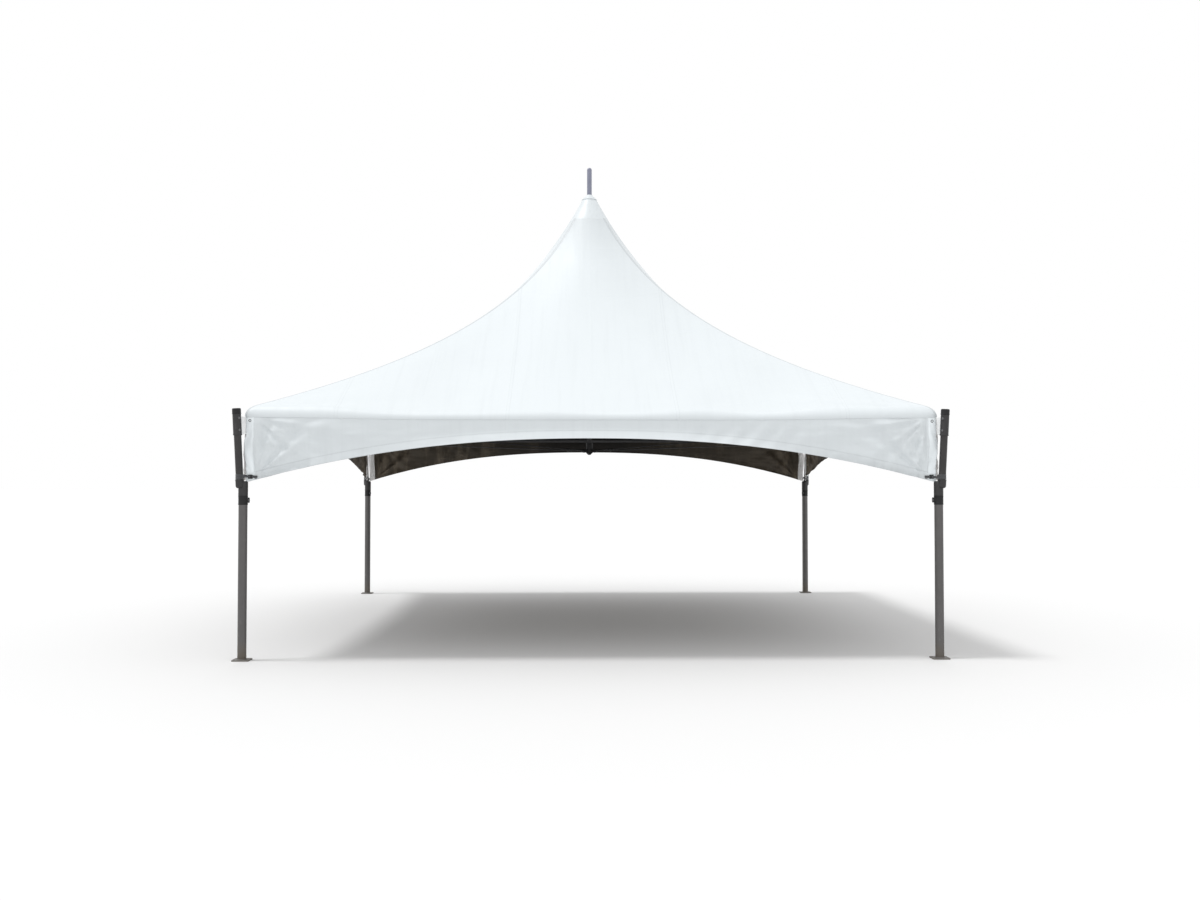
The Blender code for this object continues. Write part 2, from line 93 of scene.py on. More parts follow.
COLLAR_LOW_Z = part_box("leg_collar_front_left")[0].z

# The roof's form, as the frame has it
PEAK_RADIUS = 0.065
EAVE_BEND_MIDDLE = 0.060
EAVE_BEND_CORNER = 0.115
EAVE_Z_MIDDLE = 2.105
EAVE_Z_CORNER = 2.125
EAVE_SLOPE = math.radians(22)
CORNER_ROUND = 0.050
PULL_FROM = math.radians(25)
ROOF_SAG = 0.36
SQUARING = 0.80
STRAIGHT = CLOTH_HALF - CORNER_ROUND
ROW_CROWD = 1.12
PATCH_END = 0.053
SKIRT = 0.012

# The upper post's axis
JOINT_Z = LOWER_TOP_Z + 0.010
UPPER_SHIFT = 0.0235
UPPER_TOP_OUT = 0.050
UPPER_RADIUS = 0.03175
POST_TOP = 2.190

# Fittings, and the clearance between pieces that fit round each other
CLEAR = 0.0003
LOWER_WALL = 0.0032
UPPER_WALL = 0.003
TUBE_WALL = 0.0025
MAST_WALL = 0.0032
PLATE_HALF = 0.005
COLLAR_RADIUS = 0.0415
BAND_HIGH = 0.080
WELD_THICK = 0.0038
WELD_RIPPLE = 0.0007
WELD_RIPPLES = 34
SOCKET_DOWN = 0.050
SOCKET_UP = 0.027
SOCKET_FLOOR = 0.010
SLEEVE_RADIUS = 0.038
SLEEVE_LONG = 0.235
SLEEVE_BOLTS = (0.190, 0.085)
HEAD_CAP_HIGH = 0.050
CAP_THICK = 0.008
SOCKET_RADIUS = 0.030
SOCKET_START = 2.870
SOCKET_END = 2.990
TUBE_IN = 0.066
PIN_IN = 0.030
HUB_OUT = 3.005
HUB_RADIUS = 0.036
HUB_LOW_Z = 2.060
HUB_TOP_Z = 2.122
BRACKET_LOW_Z = 1.965
BRACKET_TOP_Z = 2.119
TIE_Z = 1.595
STRAP_END = 2.925
STRAP_WIDE = 0.0200
STRAP_THICK = 0.0020
STRAP_LIFT = 0.0106
BUCKLE_MIDDLE = 2.985
EYELETS = ((2.938, TIE_Z), (2.990, 2.085))
EYELET_RADIUS = 0.010
EYELET_THICK = 0.0030
CABLE_HIGH_OUT = 2.925
CABLE_HIGH_Z = 2.080
CABLE_LOW_OUT = 0.055
CABLE_LOW_Z = 1.900
TURNBUCKLE_START = 0.050
TURNBUCKLE_LONG = 0.180
ROPE_START = 0.245
ROPE_SHORT = 0.085
CUP_RADIUS = 0.038
SPIGOT_RADIUS = 0.018

# The valances: each lower edge's height in the middle and at the ends, and the power of its rise
ARCHES = ((1.931, 1.552, 2.20), (1.946, 1.562, 2.30), (1.957, 1.562, 2.35), (1.946, 1.562, 2.30))
HEM_WIDE = 0.072
HEM_THICK = 0.0012
HEM = np.array([0, 0.003, 0.009, 0.020, 0.034, 0.048, 0.060, 0.068, 0.071, 0.0725, 0.074, 0.077, 0.084,
                0.096, 0.115])
FLARE_HIGH = 0.095

# The pulls in a valance's ends: fold depth, which end, x and z of the point, folds, seed and reach
PULLS = ((0.0105, 1, 2.94, TIE_Z, 13, 191, 0.32), (0.0105, -1, 2.94, TIE_Z, 12, 211, 0.32),
         (0.0070, 1, 2.95, 2.11, 14, 231, 0.28), (0.0070, -1, 2.95, 2.11, 15, 251, 0.28))

# The cloth's make, as its finishes show it
PANEL_WIDE = 1.5
FOLD_WIDE = 0.76
FOLD_LONG = 0.81
SCRIM = 0.004
STITCH_LONG = 0.011
STITCH_IN = 0.067
STITCH_HALF = 0.0012


def smooth(value, low, high):
    """0 below low, 1 above high, and 3p^2 - 2p^3 of the part p between them."""
    part = np.clip((value - low) / (high - low), 0.0, 1.0)
    return part * part * (3 - 2 * part)


# Places


def quarter(turns):
    """The matrix of quarter turns about the tent's middle."""
    return Matrix.Rotation(turns * math.pi / 2, 4, "Z")


def shifted(x, y, z):
    """The matrix of a move."""
    return Matrix.Translation((x, y, z))


def tipped(axis, degrees=90):
    """The matrix of a turn about one axis, a quarter turn unless it says otherwise."""
    return Matrix.Rotation(math.radians(degrees), 4, axis)


def aimed(start, end):
    """The matrix that puts +Z along start to end, with its origin at start."""
    way = Vector(end) - Vector(start)
    return Matrix.Translation(start) @ way.to_track_quat("Z", "Y").to_matrix().to_4x4()


LEG_FOOT = shifted(-LEG, -LEG, 0)
SWAP_XY = Matrix(((0, 1, 0, 0), (1, 0, 0, 0), (0, 0, 1, 0), (0, 0, 0, 1)))


# Shapes: a shape is (points, quads), as arrays


def grid_shape(points, wrap=False):
    """Quads between neighbouring rows and columns of points; wrap joins the last column to the first."""
    rows, columns = points.shape[:2]
    index = np.arange(rows * columns).reshape(rows, columns)
    if wrap:
        index = np.concatenate([index, index[:, :1]], axis=1)
    quads = np.stack([index[:-1, :-1], index[1:, :-1], index[1:, 1:], index[:-1, 1:]], axis=-1)
    return points.reshape(-1, 3), quads.reshape(-1, 4)


def joined(*shapes):
    """Several shapes as one."""
    starts = np.cumsum([0] + [len(points) for points, quads in shapes[:-1]])
    return (np.concatenate([points for points, quads in shapes]),
            np.concatenate([quads + start for (points, quads), start in zip(shapes, starts)]))


def placed(shape, matrix):
    """A shape after a 4 x 4 matrix."""
    turn = np.array(matrix)
    return shape[0] @ turn[:3, :3].T + turn[:3, 3], shape[1]


def turned(profile, segments):
    """A profile of (radius, z) points carried round +Z: x = radius cos t, y = radius sin t."""
    radius, z = np.array(profile, float).T
    turn = np.linspace(0, 2 * math.pi, segments, endpoint=False)
    points = np.stack([np.outer(radius, np.cos(turn)), np.outer(radius, np.sin(turn)),
                       np.repeat(z[:, None], segments, 1)], axis=-1)
    return grid_shape(points, wrap=True)


def pipe(radius, wall, low, high, segments, edge=0.0008):
    """A tube along +Z with its rims chamfered by edge."""
    inner = radius - wall
    return turned([(inner, low + edge), (inner + edge, low), (radius - edge, low), (radius, low + edge),
                   (radius, high - edge), (radius - edge, high), (inner + edge, high),
                   (inner, high - edge), (inner, low + edge)], segments)


def bar(radius, low, high, segments, edge=0.0012):
    """A round solid bar along +Z with chamfered ends."""
    return turned([(0, low), (radius - edge, low), (radius, low + edge),
                   (radius, high - edge), (radius - edge, high), (0, high)], segments)


def ring(radius, thick, segments, around, ripple=0.0, ripples=0):
    """A torus about +Z; ripple swells the tube that many times round it, as a weld bead does."""
    turn = np.linspace(0, 2 * math.pi, segments, endpoint=False)
    lap = np.linspace(0, 2 * math.pi, around + 1)
    tube = thick + ripple * np.cos(ripples * turn)[None, :]
    reach = radius + tube * np.cos(lap)[:, None]
    points = np.stack([reach * np.cos(turn), reach * np.sin(turn), tube * np.sin(lap)[:, None]], axis=-1)
    return grid_shape(points, wrap=True)


def slab(outline, low, high, edge=0.0015):
    """A flat plate from a convex outline of (x, y) points, its edges chamfered by edge."""
    outline = np.array(outline, float)
    middle = outline.mean(axis=0)
    away = outline - middle
    inset = outline - away * (edge / np.linalg.norm(away, axis=1))[:, None]
    point = np.repeat(middle[None], len(outline), 0)
    layers = [(point, low), (inset, low), (outline, low + edge), (outline, high - edge), (inset, high),
              (point, high)]
    points = np.stack([np.column_stack([flat, np.full(len(flat), z)]) for flat, z in layers])
    return grid_shape(points, wrap=True)


def rounded_outline(width, height, corner, steps=6):
    """A rectangle with round corners, about the origin: four quarter circles and the lines between."""
    bend = np.linspace(0, math.pi / 2, steps)
    parts = []
    for number, (sign_x, sign_y) in enumerate(((1, 1), (-1, 1), (-1, -1), (1, -1))):
        turn = bend + number * math.pi / 2
        parts.append(np.column_stack([sign_x * (width / 2 - corner) + corner * np.cos(turn),
                                      sign_y * (height / 2 - corner) + corner * np.sin(turn)]))
    return np.concatenate(parts)


def swept(path, section, up=(0, 0, 1)):
    """A closed section of (side, over) points carried along a path, with its ends closed to a point.

    Each point is the path's point + s0 side + s1 over, where side is square to the path and up.
    """
    path = np.array(path, float)
    along = np.gradient(path, axis=0)
    along /= np.linalg.norm(along, axis=1)[:, None]
    side = np.cross(along, np.array(up, float))
    side /= np.linalg.norm(side, axis=1)[:, None]
    over = np.cross(side, along)
    points = path[:, None] + section[:, :1] * side[:, None] + section[:, 1:] * over[:, None]
    first, last = [np.repeat(end[:, None], len(section), 1) for end in (path[:1], path[-1:])]
    return grid_shape(np.concatenate([first, points, last]), wrap=True)


def hex_bolt(radius, long):
    """A hexagon bolt along +Z with its washer at z = 0 and its head above, sized by its shank's radius."""
    wide = radius * 2.3
    thick = radius * 0.3
    across = radius * 1.75
    high = radius * 1.1
    hole = radius * 0.6
    washer = turned([(hole, 0), (wide, 0), (wide, thick), (hole, thick), (hole, 0)], 28)
    head = turned([(0, thick), (across, thick), (across, high), (across * 0.86, high * 1.12),
                   (0, high * 1.12)], 6)
    return joined(washer, head, bar(radius, -long, radius * 0.4, 16, 0.0005))


# Pieces


def link_new(name, data):
    """A new object that holds some data, in the scene."""
    made = bpy.data.objects.new(name, data)
    bpy.context.scene.collection.objects.link(made)
    return made


def piece(name, shape, finishes, stands_for=(), uv=None, closed=True, sharp=38, finish_numbers=None):
    """Makes a finished piece on the body root, with shared points merged and smooth shading.

    Edges that turn by more than sharp degrees stay sharp. worn gives each quad the number of its finish.
    """
    points, quads = shape
    mesh = bpy.data.meshes.new(name)
    mesh.from_pydata(points.tolist(), [], quads.tolist())
    if finish_numbers is not None:
        mesh.polygons.foreach_set("material_index", np.asarray(finish_numbers, np.int32).ravel())
    for layer, values in (uv or {}).items():
        mesh.uv_layers.new(name=layer).data.foreach_set("uv", np.asarray(values, np.float32).ravel())
    body = bmesh.new()
    body.from_mesh(mesh)
    bmesh.ops.remove_doubles(body, verts=body.verts, dist=1e-6)
    bmesh.ops.dissolve_degenerate(body, edges=body.edges, dist=1e-7)
    if closed:
        bmesh.ops.recalc_face_normals(body, faces=body.faces)
    body.to_mesh(mesh)
    body.free()
    mesh.shade_smooth()
    mesh.set_sharp_from_angle(angle=math.radians(sharp))
    for finish in finishes:
        mesh.materials.append(finish)
    made = link_new(name, mesh)
    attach(made, "root")
    if stands_for:
        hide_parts(*stands_for)
    return made


def on_corners(*rows):
    """Makes each row's piece at each corner: its name, shape, finish, slot (not used) and the node it stands
    for.
    """
    for turns, corner in enumerate(CORNERS):
        for name, shape, finish, slot, *nodes in rows:
            piece(name + corner, placed(shape, quarter(turns)), [finish],
                  [node + corner for node in nodes])


# The cloth's form


def eave_reach(angle):
    """How far the rounded square of the eave is from the axis, as a share of CLOTH_HALF.

    1 / cos a along the straight; round the corner, c (cos a + sin a) + sqrt(r^2 - c^2 (cos a - sin a)^2).
    """
    angle = np.abs(angle)
    along = STRAIGHT * (np.cos(angle) + np.sin(angle))
    across = STRAIGHT * (np.cos(angle) - np.sin(angle))
    bend = along + np.sqrt(np.maximum(CORNER_ROUND ** 2 - across ** 2, 0))
    return np.where(np.tan(angle) <= STRAIGHT / CLOTH_HALF, 1 / np.cos(angle), bend / CLOTH_HALF)


def eave_bend(angle):
    """The eave's bend radius and the height where the cloth hangs upright, pulled up at the corners."""
    pull = smooth(np.abs(angle), PULL_FROM, math.pi / 4)
    return (EAVE_BEND_MIDDLE + (EAVE_BEND_CORNER - EAVE_BEND_MIDDLE) * pull,
            EAVE_Z_MIDDLE + (EAVE_Z_CORNER - EAVE_Z_MIDDLE) * pull)


def roof_surface(angle, part, turn, lift=0.0):
    """Points of a gore at angles from its middle.

    part from 0 to 1 runs down the slope, where the height falls by a logarithm of the distance from
    the mast, and turn from 0 to 1 runs over the eave tube on an arc. lift moves a point out of the
    cloth, in the upright plane through the mast.
    """
    bend, level = eave_bend(angle)
    edge = CLOTH_HALF - bend + bend * math.sin(EAVE_SLOPE)
    edge_z = level + bend * math.cos(EAVE_SLOPE)
    scale = math.log((1 + ROOF_SAG) / ROOF_SAG)
    radius = PEAK_RADIUS + (edge - PEAK_RADIUS) * part
    z = edge_z + (PEAK_Z - edge_z) * np.log((1 + ROOF_SAG) / (part + ROOF_SAG)) / scale
    slope = np.arctan2((PEAK_Z - edge_z) / (scale * (part + ROOF_SAG)), edge - PEAK_RADIUS)
    over = EAVE_SLOPE + (math.pi / 2 - EAVE_SLOPE) * turn
    on_arc = turn > 0
    radius = np.where(on_arc, CLOTH_HALF - bend + bend * np.sin(over), radius)
    z = np.where(on_arc, level + bend * np.cos(over), z)
    slope = np.where(on_arc, over, slope)
    share = np.maximum((radius - PEAK_RADIUS) / (CLOTH_HALF - PEAK_RADIUS), 0.0) ** SQUARING
    reach = radius * ((1 - share) + share * eave_reach(angle)) + lift * np.sin(slope)
    return np.stack(np.broadcast_arrays(reach * np.sin(angle), -reach * np.cos(angle),
                                        z + lift * np.cos(slope)), axis=-1)


def slope_rows(start, count, over):
    """Columns of part and turn: rows from start to the eave, crowded by a power, and then rows on the arc."""
    rows = start + (1 - start) * np.linspace(0.0, 1, count) ** ROW_CROWD
    part = np.concatenate([rows, np.ones(over)])[:, None]
    return part, np.concatenate([np.zeros(count), np.linspace(0, 1, over + 1)[1:]])[:, None]


def side_angles(steps, corner_steps, corner_turn):
    """Angles across one side: even steps that close up towards the corners, then round them."""
    even = np.linspace(0, 1, steps + 1)
    along = STRAIGHT * (1.25 * even - 0.25 * even ** 3)
    flat = np.arctan2(along, CLOTH_HALF)
    bend = np.linspace(0, corner_turn, corner_steps + 1)[1:]
    rounding = np.arctan2(STRAIGHT + CORNER_ROUND * np.sin(bend), STRAIGHT + CORNER_ROUND * np.cos(bend))
    right = np.concatenate([flat, rounding])
    return np.concatenate([-right[:0:-1], right])


def ripples(x, y, seed, count, shortest, longest):
    """A soft uneven field between about -1 and 1: a sum of sines in seeded directions and lengths."""
    rng = np.random.default_rng(seed)
    total = np.zeros(np.broadcast(x, y).shape)
    for heading, length, phase in zip(rng.uniform(0, math.pi, count),
                                      np.exp(rng.uniform(math.log(shortest), math.log(longest), count)),
                                      rng.uniform(0, 2 * math.pi, count)):
        total += np.sin((x * math.cos(heading) + y * math.sin(heading)) * 2 * math.pi / length + phase)
    return total / math.sqrt(count / 2) / 1.6


def fan(x, z, at_x, at_z, folds, seed, reach):
    """Folds that run out of one point: sines of the angle times (r / reach) exp(1 - r / reach)."""
    rng = np.random.default_rng(seed)
    away_x, away_z = x - at_x, z - at_z
    far = np.hypot(away_x, away_z)
    heading = np.arctan2(away_z, np.abs(away_x) + 1e-6)
    waves = np.sin(folds * heading + rng.uniform(0, 6))
    waves = waves + 0.6 * np.sin(folds * 1.73 * heading + rng.uniform(0, 6))
    return waves * (far / reach) * np.exp(1 - far / reach) * smooth(far, 0.0, 0.10)


def corner_uv(values):
    """Grid values of shape (rows, columns, 2) as one value for each corner of each quad."""
    return np.stack([values[:-1, :-1], values[1:, :-1], values[1:, 1:], values[:-1, 1:]],
                    axis=2).reshape(-1, 2)


def roof_gore(side, cloth):
    """One gore's points and cloth coordinates, with the slack that shows between its hips.

    The slack is a broad ripple between the hips, short ones over the eave and by the corners, and two fans.
    """
    angle = side_angles(46, 4, math.pi / 4)[None, :]
    part, turn = slope_rows(0.0, 80, 13)
    flat = roof_surface(angle, part, turn)
    x, y = flat[..., 0], -flat[..., 1]
    hip = np.abs(np.abs(x) - y) / math.sqrt(2)
    free = smooth(hip, 0.0, 0.35) * smooth(part, 0.02, 0.15) * (1 - turn) ** 2
    near_eave = np.exp(-(1 - part) * 9) * (1 - 0.8 * turn) * smooth(hip, 0.02, 0.2)
    away = np.hypot(np.abs(x) - STRAIGHT, y - STRAIGHT)
    near_corner = np.exp(-away / 0.22) * smooth(hip, 0.01, 0.1)
    slack = (0.009 * ripples(x, y, 11 + side, 7, 0.9, 2.4) * free
             + 0.0022 * ripples(x * 1.5, y * 0.5, 31 + side, 14, 0.10, 0.30) * near_eave
             + 0.0035 * fan(x, y, STRAIGHT, STRAIGHT, 19, 51 + side, 0.45) * free
             + 0.0035 * fan(-x, y, STRAIGHT, STRAIGHT, 17, 71 + side, 0.45) * free
             + 0.0012 * ripples(x, y, 91 + side, 12, 0.05, 0.12) * near_corner)
    points = roof_surface(angle, part, turn, slack * cloth.fold_depth)
    skirt = points[-1:] - np.array([0, 0, 1.0]) * np.array([0.5, 1.0])[:, None, None] * SKIRT
    points = np.concatenate([points, skirt])
    down = np.linalg.norm(np.diff(points, axis=0), axis=-1)
    down = np.concatenate([np.zeros((1, points.shape[1])), np.cumsum(down, axis=0)])
    return points, np.stack([points[..., 0], down], axis=-1)


def valance_depth(side, x):
    """A valance's lower edge: it falls from the middle as a power of the distance, to the ends' height."""
    middle, corner, power = ARCHES[side]
    return middle + (corner - middle) * np.minimum(np.abs(x) / STRAIGHT, 1.0) ** power


def valance_columns():
    """Places across a valance: the hem's own columns at each end, and between them x (1.2 - 0.2 x^2)."""
    even = np.linspace(-1, 1, 281)[1:-1]
    inner = VALANCE_END - HEM[-1]
    return np.concatenate([HEM - VALANCE_END, inner * (1.2 * even - 0.2 * even ** 3),
                           (VALANCE_END - HEM)[::-1]])


def doubled(from_edge):
    """How far a turned hem stands out: one more cloth up to its width from the edge, then a groove."""
    beyond = from_edge - HEM_WIDE
    return HEM_THICK * (1 - smooth(beyond, -0.0030, 0.0010)) - HEM_THICK * np.exp(-(beyond / 0.0018) ** 2)


def valance_panel(side, cloth):
    """One valance's points and cloth coordinates: hung folds, fans from the ties, and hems that curl.

    The front's and back's ends follow the leaning posts by up to 20 mm, past the other two, and all the
    ends' tops turn in with the eave's round corner. Sums of sines make the hang, the level streaks, one
    slanting set of folds and the crumpled ends, and they calm down within 0.18 m of each end.
    """
    x = valance_columns()
    top = eave_bend(np.arctan2(x, CLOTH_HALF))[1] + 0.004
    top = top - 0.010 * smooth(np.abs(x), STRAIGHT - 0.05, STRAIGHT)
    low = valance_depth(side, x)
    share = np.linspace(0, 1, 40)[1:][:, None]
    from_hem = np.concatenate([np.repeat(HEM[:, None], len(x), 1),
                               HEM[-1] + (top - low - HEM[-1])[None, :] * share])[::-1]
    z = low[None, :] + from_hem
    below = top[None, :] - z
    deep = (top - low)[None, :]
    wide = np.repeat(x[None, :], len(z), 0)
    end = VALANCE_END - np.abs(wide)
    free = smooth(below, 0.0, 0.16)
    near = np.exp(-end / 0.40)
    calm = 0.35 + 0.65 * smooth(end, 0.03, 0.18)
    hung = (0.0055 * ripples(wide, z * 0.25, 131 + side, 9, 0.45, 1.6) * (below / deep)
            + 0.0028 * ripples(wide, z * 0.5, 151 + side, 12, 0.16, 0.40) * free)
    streaks = 0.0030 * ripples(wide * 0.22, z, 171 + side, 12, 0.05, 0.13) * free * np.exp(-end / 1.6)
    fans = sum(depth * fan(way * wide + at_x, z, 0, at_z, folds, seed + side, reach)
               for depth, way, at_x, at_z, folds, seed, reach in PULLS) * smooth(below, 0.0, 0.08)
    slant = (wide - 0.9 * (z - 1.9) - 1.35) * (1, -1)[side % 2]
    folds = 0.0060 * np.sin(slant * 2 * math.pi / 0.21) * np.exp(-(slant / 0.50) ** 2) * free
    crumple = (0.0060 * ripples(wide, z, 271 + side, 16, 0.09, 0.26)
               + 0.0022 * ripples(wide, z, 291 + side, 16, 0.035, 0.09)) * near * free
    curl = 0.026 * smooth(end, 0.9, 2.0) - 0.012 * (1 - smooth(end, 0.2, 0.9)) * smooth(end, 0.04, 0.2)
    flare = curl * np.clip(1 - from_hem / FLARE_HIGH, 0, 1) ** 1.25
    out = ((hung + streaks + fans + folds + crumple) * calm + flare) * cloth.fold_depth
    out += np.maximum(doubled(from_hem), doubled(end))
    bend = np.clip(np.abs(wide) - STRAIGHT, 0, 0.045)
    turn_in = (CORNER_ROUND - np.sqrt(CORNER_ROUND ** 2 - bend ** 2)) * (1 - smooth(below, 0.02, 0.25))
    turn_in = turn_in + 0.0035 * smooth(bend, 0.0, 0.02) * (1 - smooth(below, 0.0, 0.06))
    lean = (0.020, -0.004)[side % 2] * np.sign(wide) * smooth(0.15 - end, 0.0, 0.15)
    lean = lean * smooth(z, 1.66, 1.86) * (1 - 0.75 * smooth(z, 1.90, 1.96))
    points = np.stack([wide + lean, 0.0016 - CLOTH_HALF - out + turn_in, z], axis=-1)
    return points, np.stack([wide, from_hem], axis=-1)


def hip_strip(width, thick):
    """The welded lap along the hip at the right end of the front gore, from the peak's patch down.

    Its section is flat with low sides: across runs over its width, and lift stands off the cloth.
    """
    part, turn = slope_rows(PATCH_END, 90, 12)
    middle = roof_surface(np.array([[math.pi / 4]]), part, turn)
    across = np.array([-1, -0.93, -0.5, 0, 0.5, 0.93, 1, 0.5, 0, -0.5])[None, :]
    lift = np.array([0.0002, 1, 1, 1, 1, 1, 0.0002, -0.4, -0.4, -0.4])[None, :] * thick
    offset = across * width / 2 / np.hypot(middle[..., 0], middle[..., 1])
    points = roof_surface(math.pi / 4 - np.abs(offset), part, turn, lift)
    mirrored = points[..., [1, 0, 2]] * np.array([-1, -1, 1])
    points = np.where((across > 0)[..., None], mirrored, points)
    first, last = [np.repeat(end.mean(axis=1, keepdims=True), points.shape[1], 1)
                   for end in (points[:1], points[-1:])]
    return grid_shape(np.concatenate([first, points, last]), wrap=True)


# Finishes


def math_node(operation, reflected=False):
    """A method that adds one Math node, with its two numbers in order or changed round."""
    def method(self, other=0.0):
        first, second = (other, self) if reflected else (self, other)
        node = self.finish.node("ShaderNodeMath", {"operation": operation}, {0: first, 1: second})
        return Value(self.finish, node.outputs[0])
    return method


class Value:
    """A socket that takes part in plain arithmetic: each sign adds one Math node."""

    __add__, __radd__ = math_node("ADD"), math_node("ADD", True)
    __sub__, __rsub__ = math_node("SUBTRACT"), math_node("SUBTRACT", True)
    __mul__, __rmul__ = math_node("MULTIPLY"), math_node("MULTIPLY", True)
    __truediv__, __rtruediv__ = math_node("DIVIDE"), math_node("DIVIDE", True)
    __abs__ = math_node("ABSOLUTE")
    sine = math_node("SINE")
    below = math_node("LESS_THAN")
    least = math_node("MINIMUM")
    pingpong = math_node("PINGPONG")

    def __init__(self, finish, socket):
        self.finish = finish
        self.socket = socket

    def lap(self, length):
        """The distance to the nearest whole multiple of length."""
        return self.pingpong(length / 2)

    def wave(self, length):
        """A sine wave of that length, between -1 and 1."""
        return (self * (2 * math.pi / length)).sine()

    def rise(self, low, high):
        """0 below low, 1 above high and even between them."""
        return self.finish.ramp(self, (low, 0.0), (high, 1.0))

    def fall(self, low, high):
        """1 below low, 0 above high and even between them."""
        return self.finish.ramp(self, (low, 1.0), (high, 0.0))


class Finish:
    """A material in the making: its other nodes all come from the method node."""

    def __init__(self, name, color, roughness, metallic=0.0, **fixed):
        self.material = bpy.data.materials.new(name)
        self.material.use_nodes = True
        self.tree = self.material.node_tree
        self.shader = self.tree.nodes["Principled BSDF"]
        self.place = self.node("ShaderNodeTexCoord", {}, {}).outputs["Object"]
        self.set("Base Color", color)
        self.set("Roughness", roughness)
        self.set("Metallic", metallic)
        for socket, value in fixed.items():
            self.set(socket.replace("_", " ").title().replace("Ior", "IOR"), value)
        self.material.diffuse_color = (*color[:3], 1.0)

    def node(self, kind, settings, sockets):
        """Adds a node, sets its settings first, and then fills its sockets with values or links."""
        made = self.tree.nodes.new(kind)
        stops = settings.pop("stops", None)
        for name, value in settings.items():
            setattr(made, name, value)
        if stops:
            ramp = made.color_ramp.elements
            while len(ramp) < len(stops):
                ramp.new(0.5)
            for element, (place, grey) in zip(ramp, stops):
                element.position = place
                element.color = (grey, grey, grey, 1.0)
        for key, value in sockets.items():
            self.fill(made.inputs[key], value)
        return made

    def fill(self, target, value):
        """Links a value to a socket, or sets the socket's constant."""
        value = getattr(value, "socket", value)
        if isinstance(value, bpy.types.NodeSocket):
            self.tree.links.new(value, target)
        elif target.type == "RGBA":
            target.default_value = (*value[:3], 1.0)
        else:
            target.default_value = value

    def set(self, socket, value):
        """Gives the shader's socket a constant or a link."""
        self.fill(self.shader.inputs[socket], value)

    def split(self, vector):
        """The three parts of a vector, as values."""
        parts = self.node("ShaderNodeSeparateXYZ", {}, {0: vector}).outputs
        return [Value(self, part) for part in parts]

    def noise(self, scale, detail=3.0, roughness=0.55, stretch=(1, 1, 1), vector=None):
        """Soft noise from 0 to 1 on Object coordinates, or on a vector, first stretched along its axes."""
        place = self.place if vector is None else vector
        longer = self.node("ShaderNodeMapping", {}, {"Vector": place, "Scale": stretch}).outputs[0]
        made = self.node("ShaderNodeTexNoise", {}, {"Vector": longer, "Scale": scale, "Detail": detail,
                                                    "Roughness": roughness})
        return Value(self, made.outputs["Fac"])

    def ramp(self, value, *stops):
        """A value through a ramp of (place, grey) stops."""
        made = self.node("ShaderNodeValToRGB", {"stops": stops}, {"Fac": value})
        return Value(self, self.node("ShaderNodeRGBToBW", {}, {0: made.outputs["Color"]}).outputs[0])

    def mix(self, share, first, second):
        """One colour mixed into another by a share from 0 to 1."""
        return self.node("ShaderNodeMix", {"data_type": "RGBA"}, {0: share, 6: first, 7: second}).outputs[2]

    def bump(self, height, distance, strength=1.0, under=None):
        """A bump of a height in units of distance, over another bump."""
        sockets = {"Height": height, "Distance": distance, "Strength": strength}
        if under is not None:
            sockets["Normal"] = under
        return self.node("ShaderNodeBump", {}, sockets).outputs["Normal"]


def shade(color, factor):
    """A colour made darker or lighter by a factor."""
    return tuple(min(part * factor, 1.0) for part in color[:3])


def stitched(along, inwards):
    """1 on the threads of a seam that runs along one way, STITCH_IN from the cloth's edge."""
    return (along.wave(STITCH_LONG) * 0.5 + 0.5) * abs(inwards - STITCH_IN).below(STITCH_HALF)


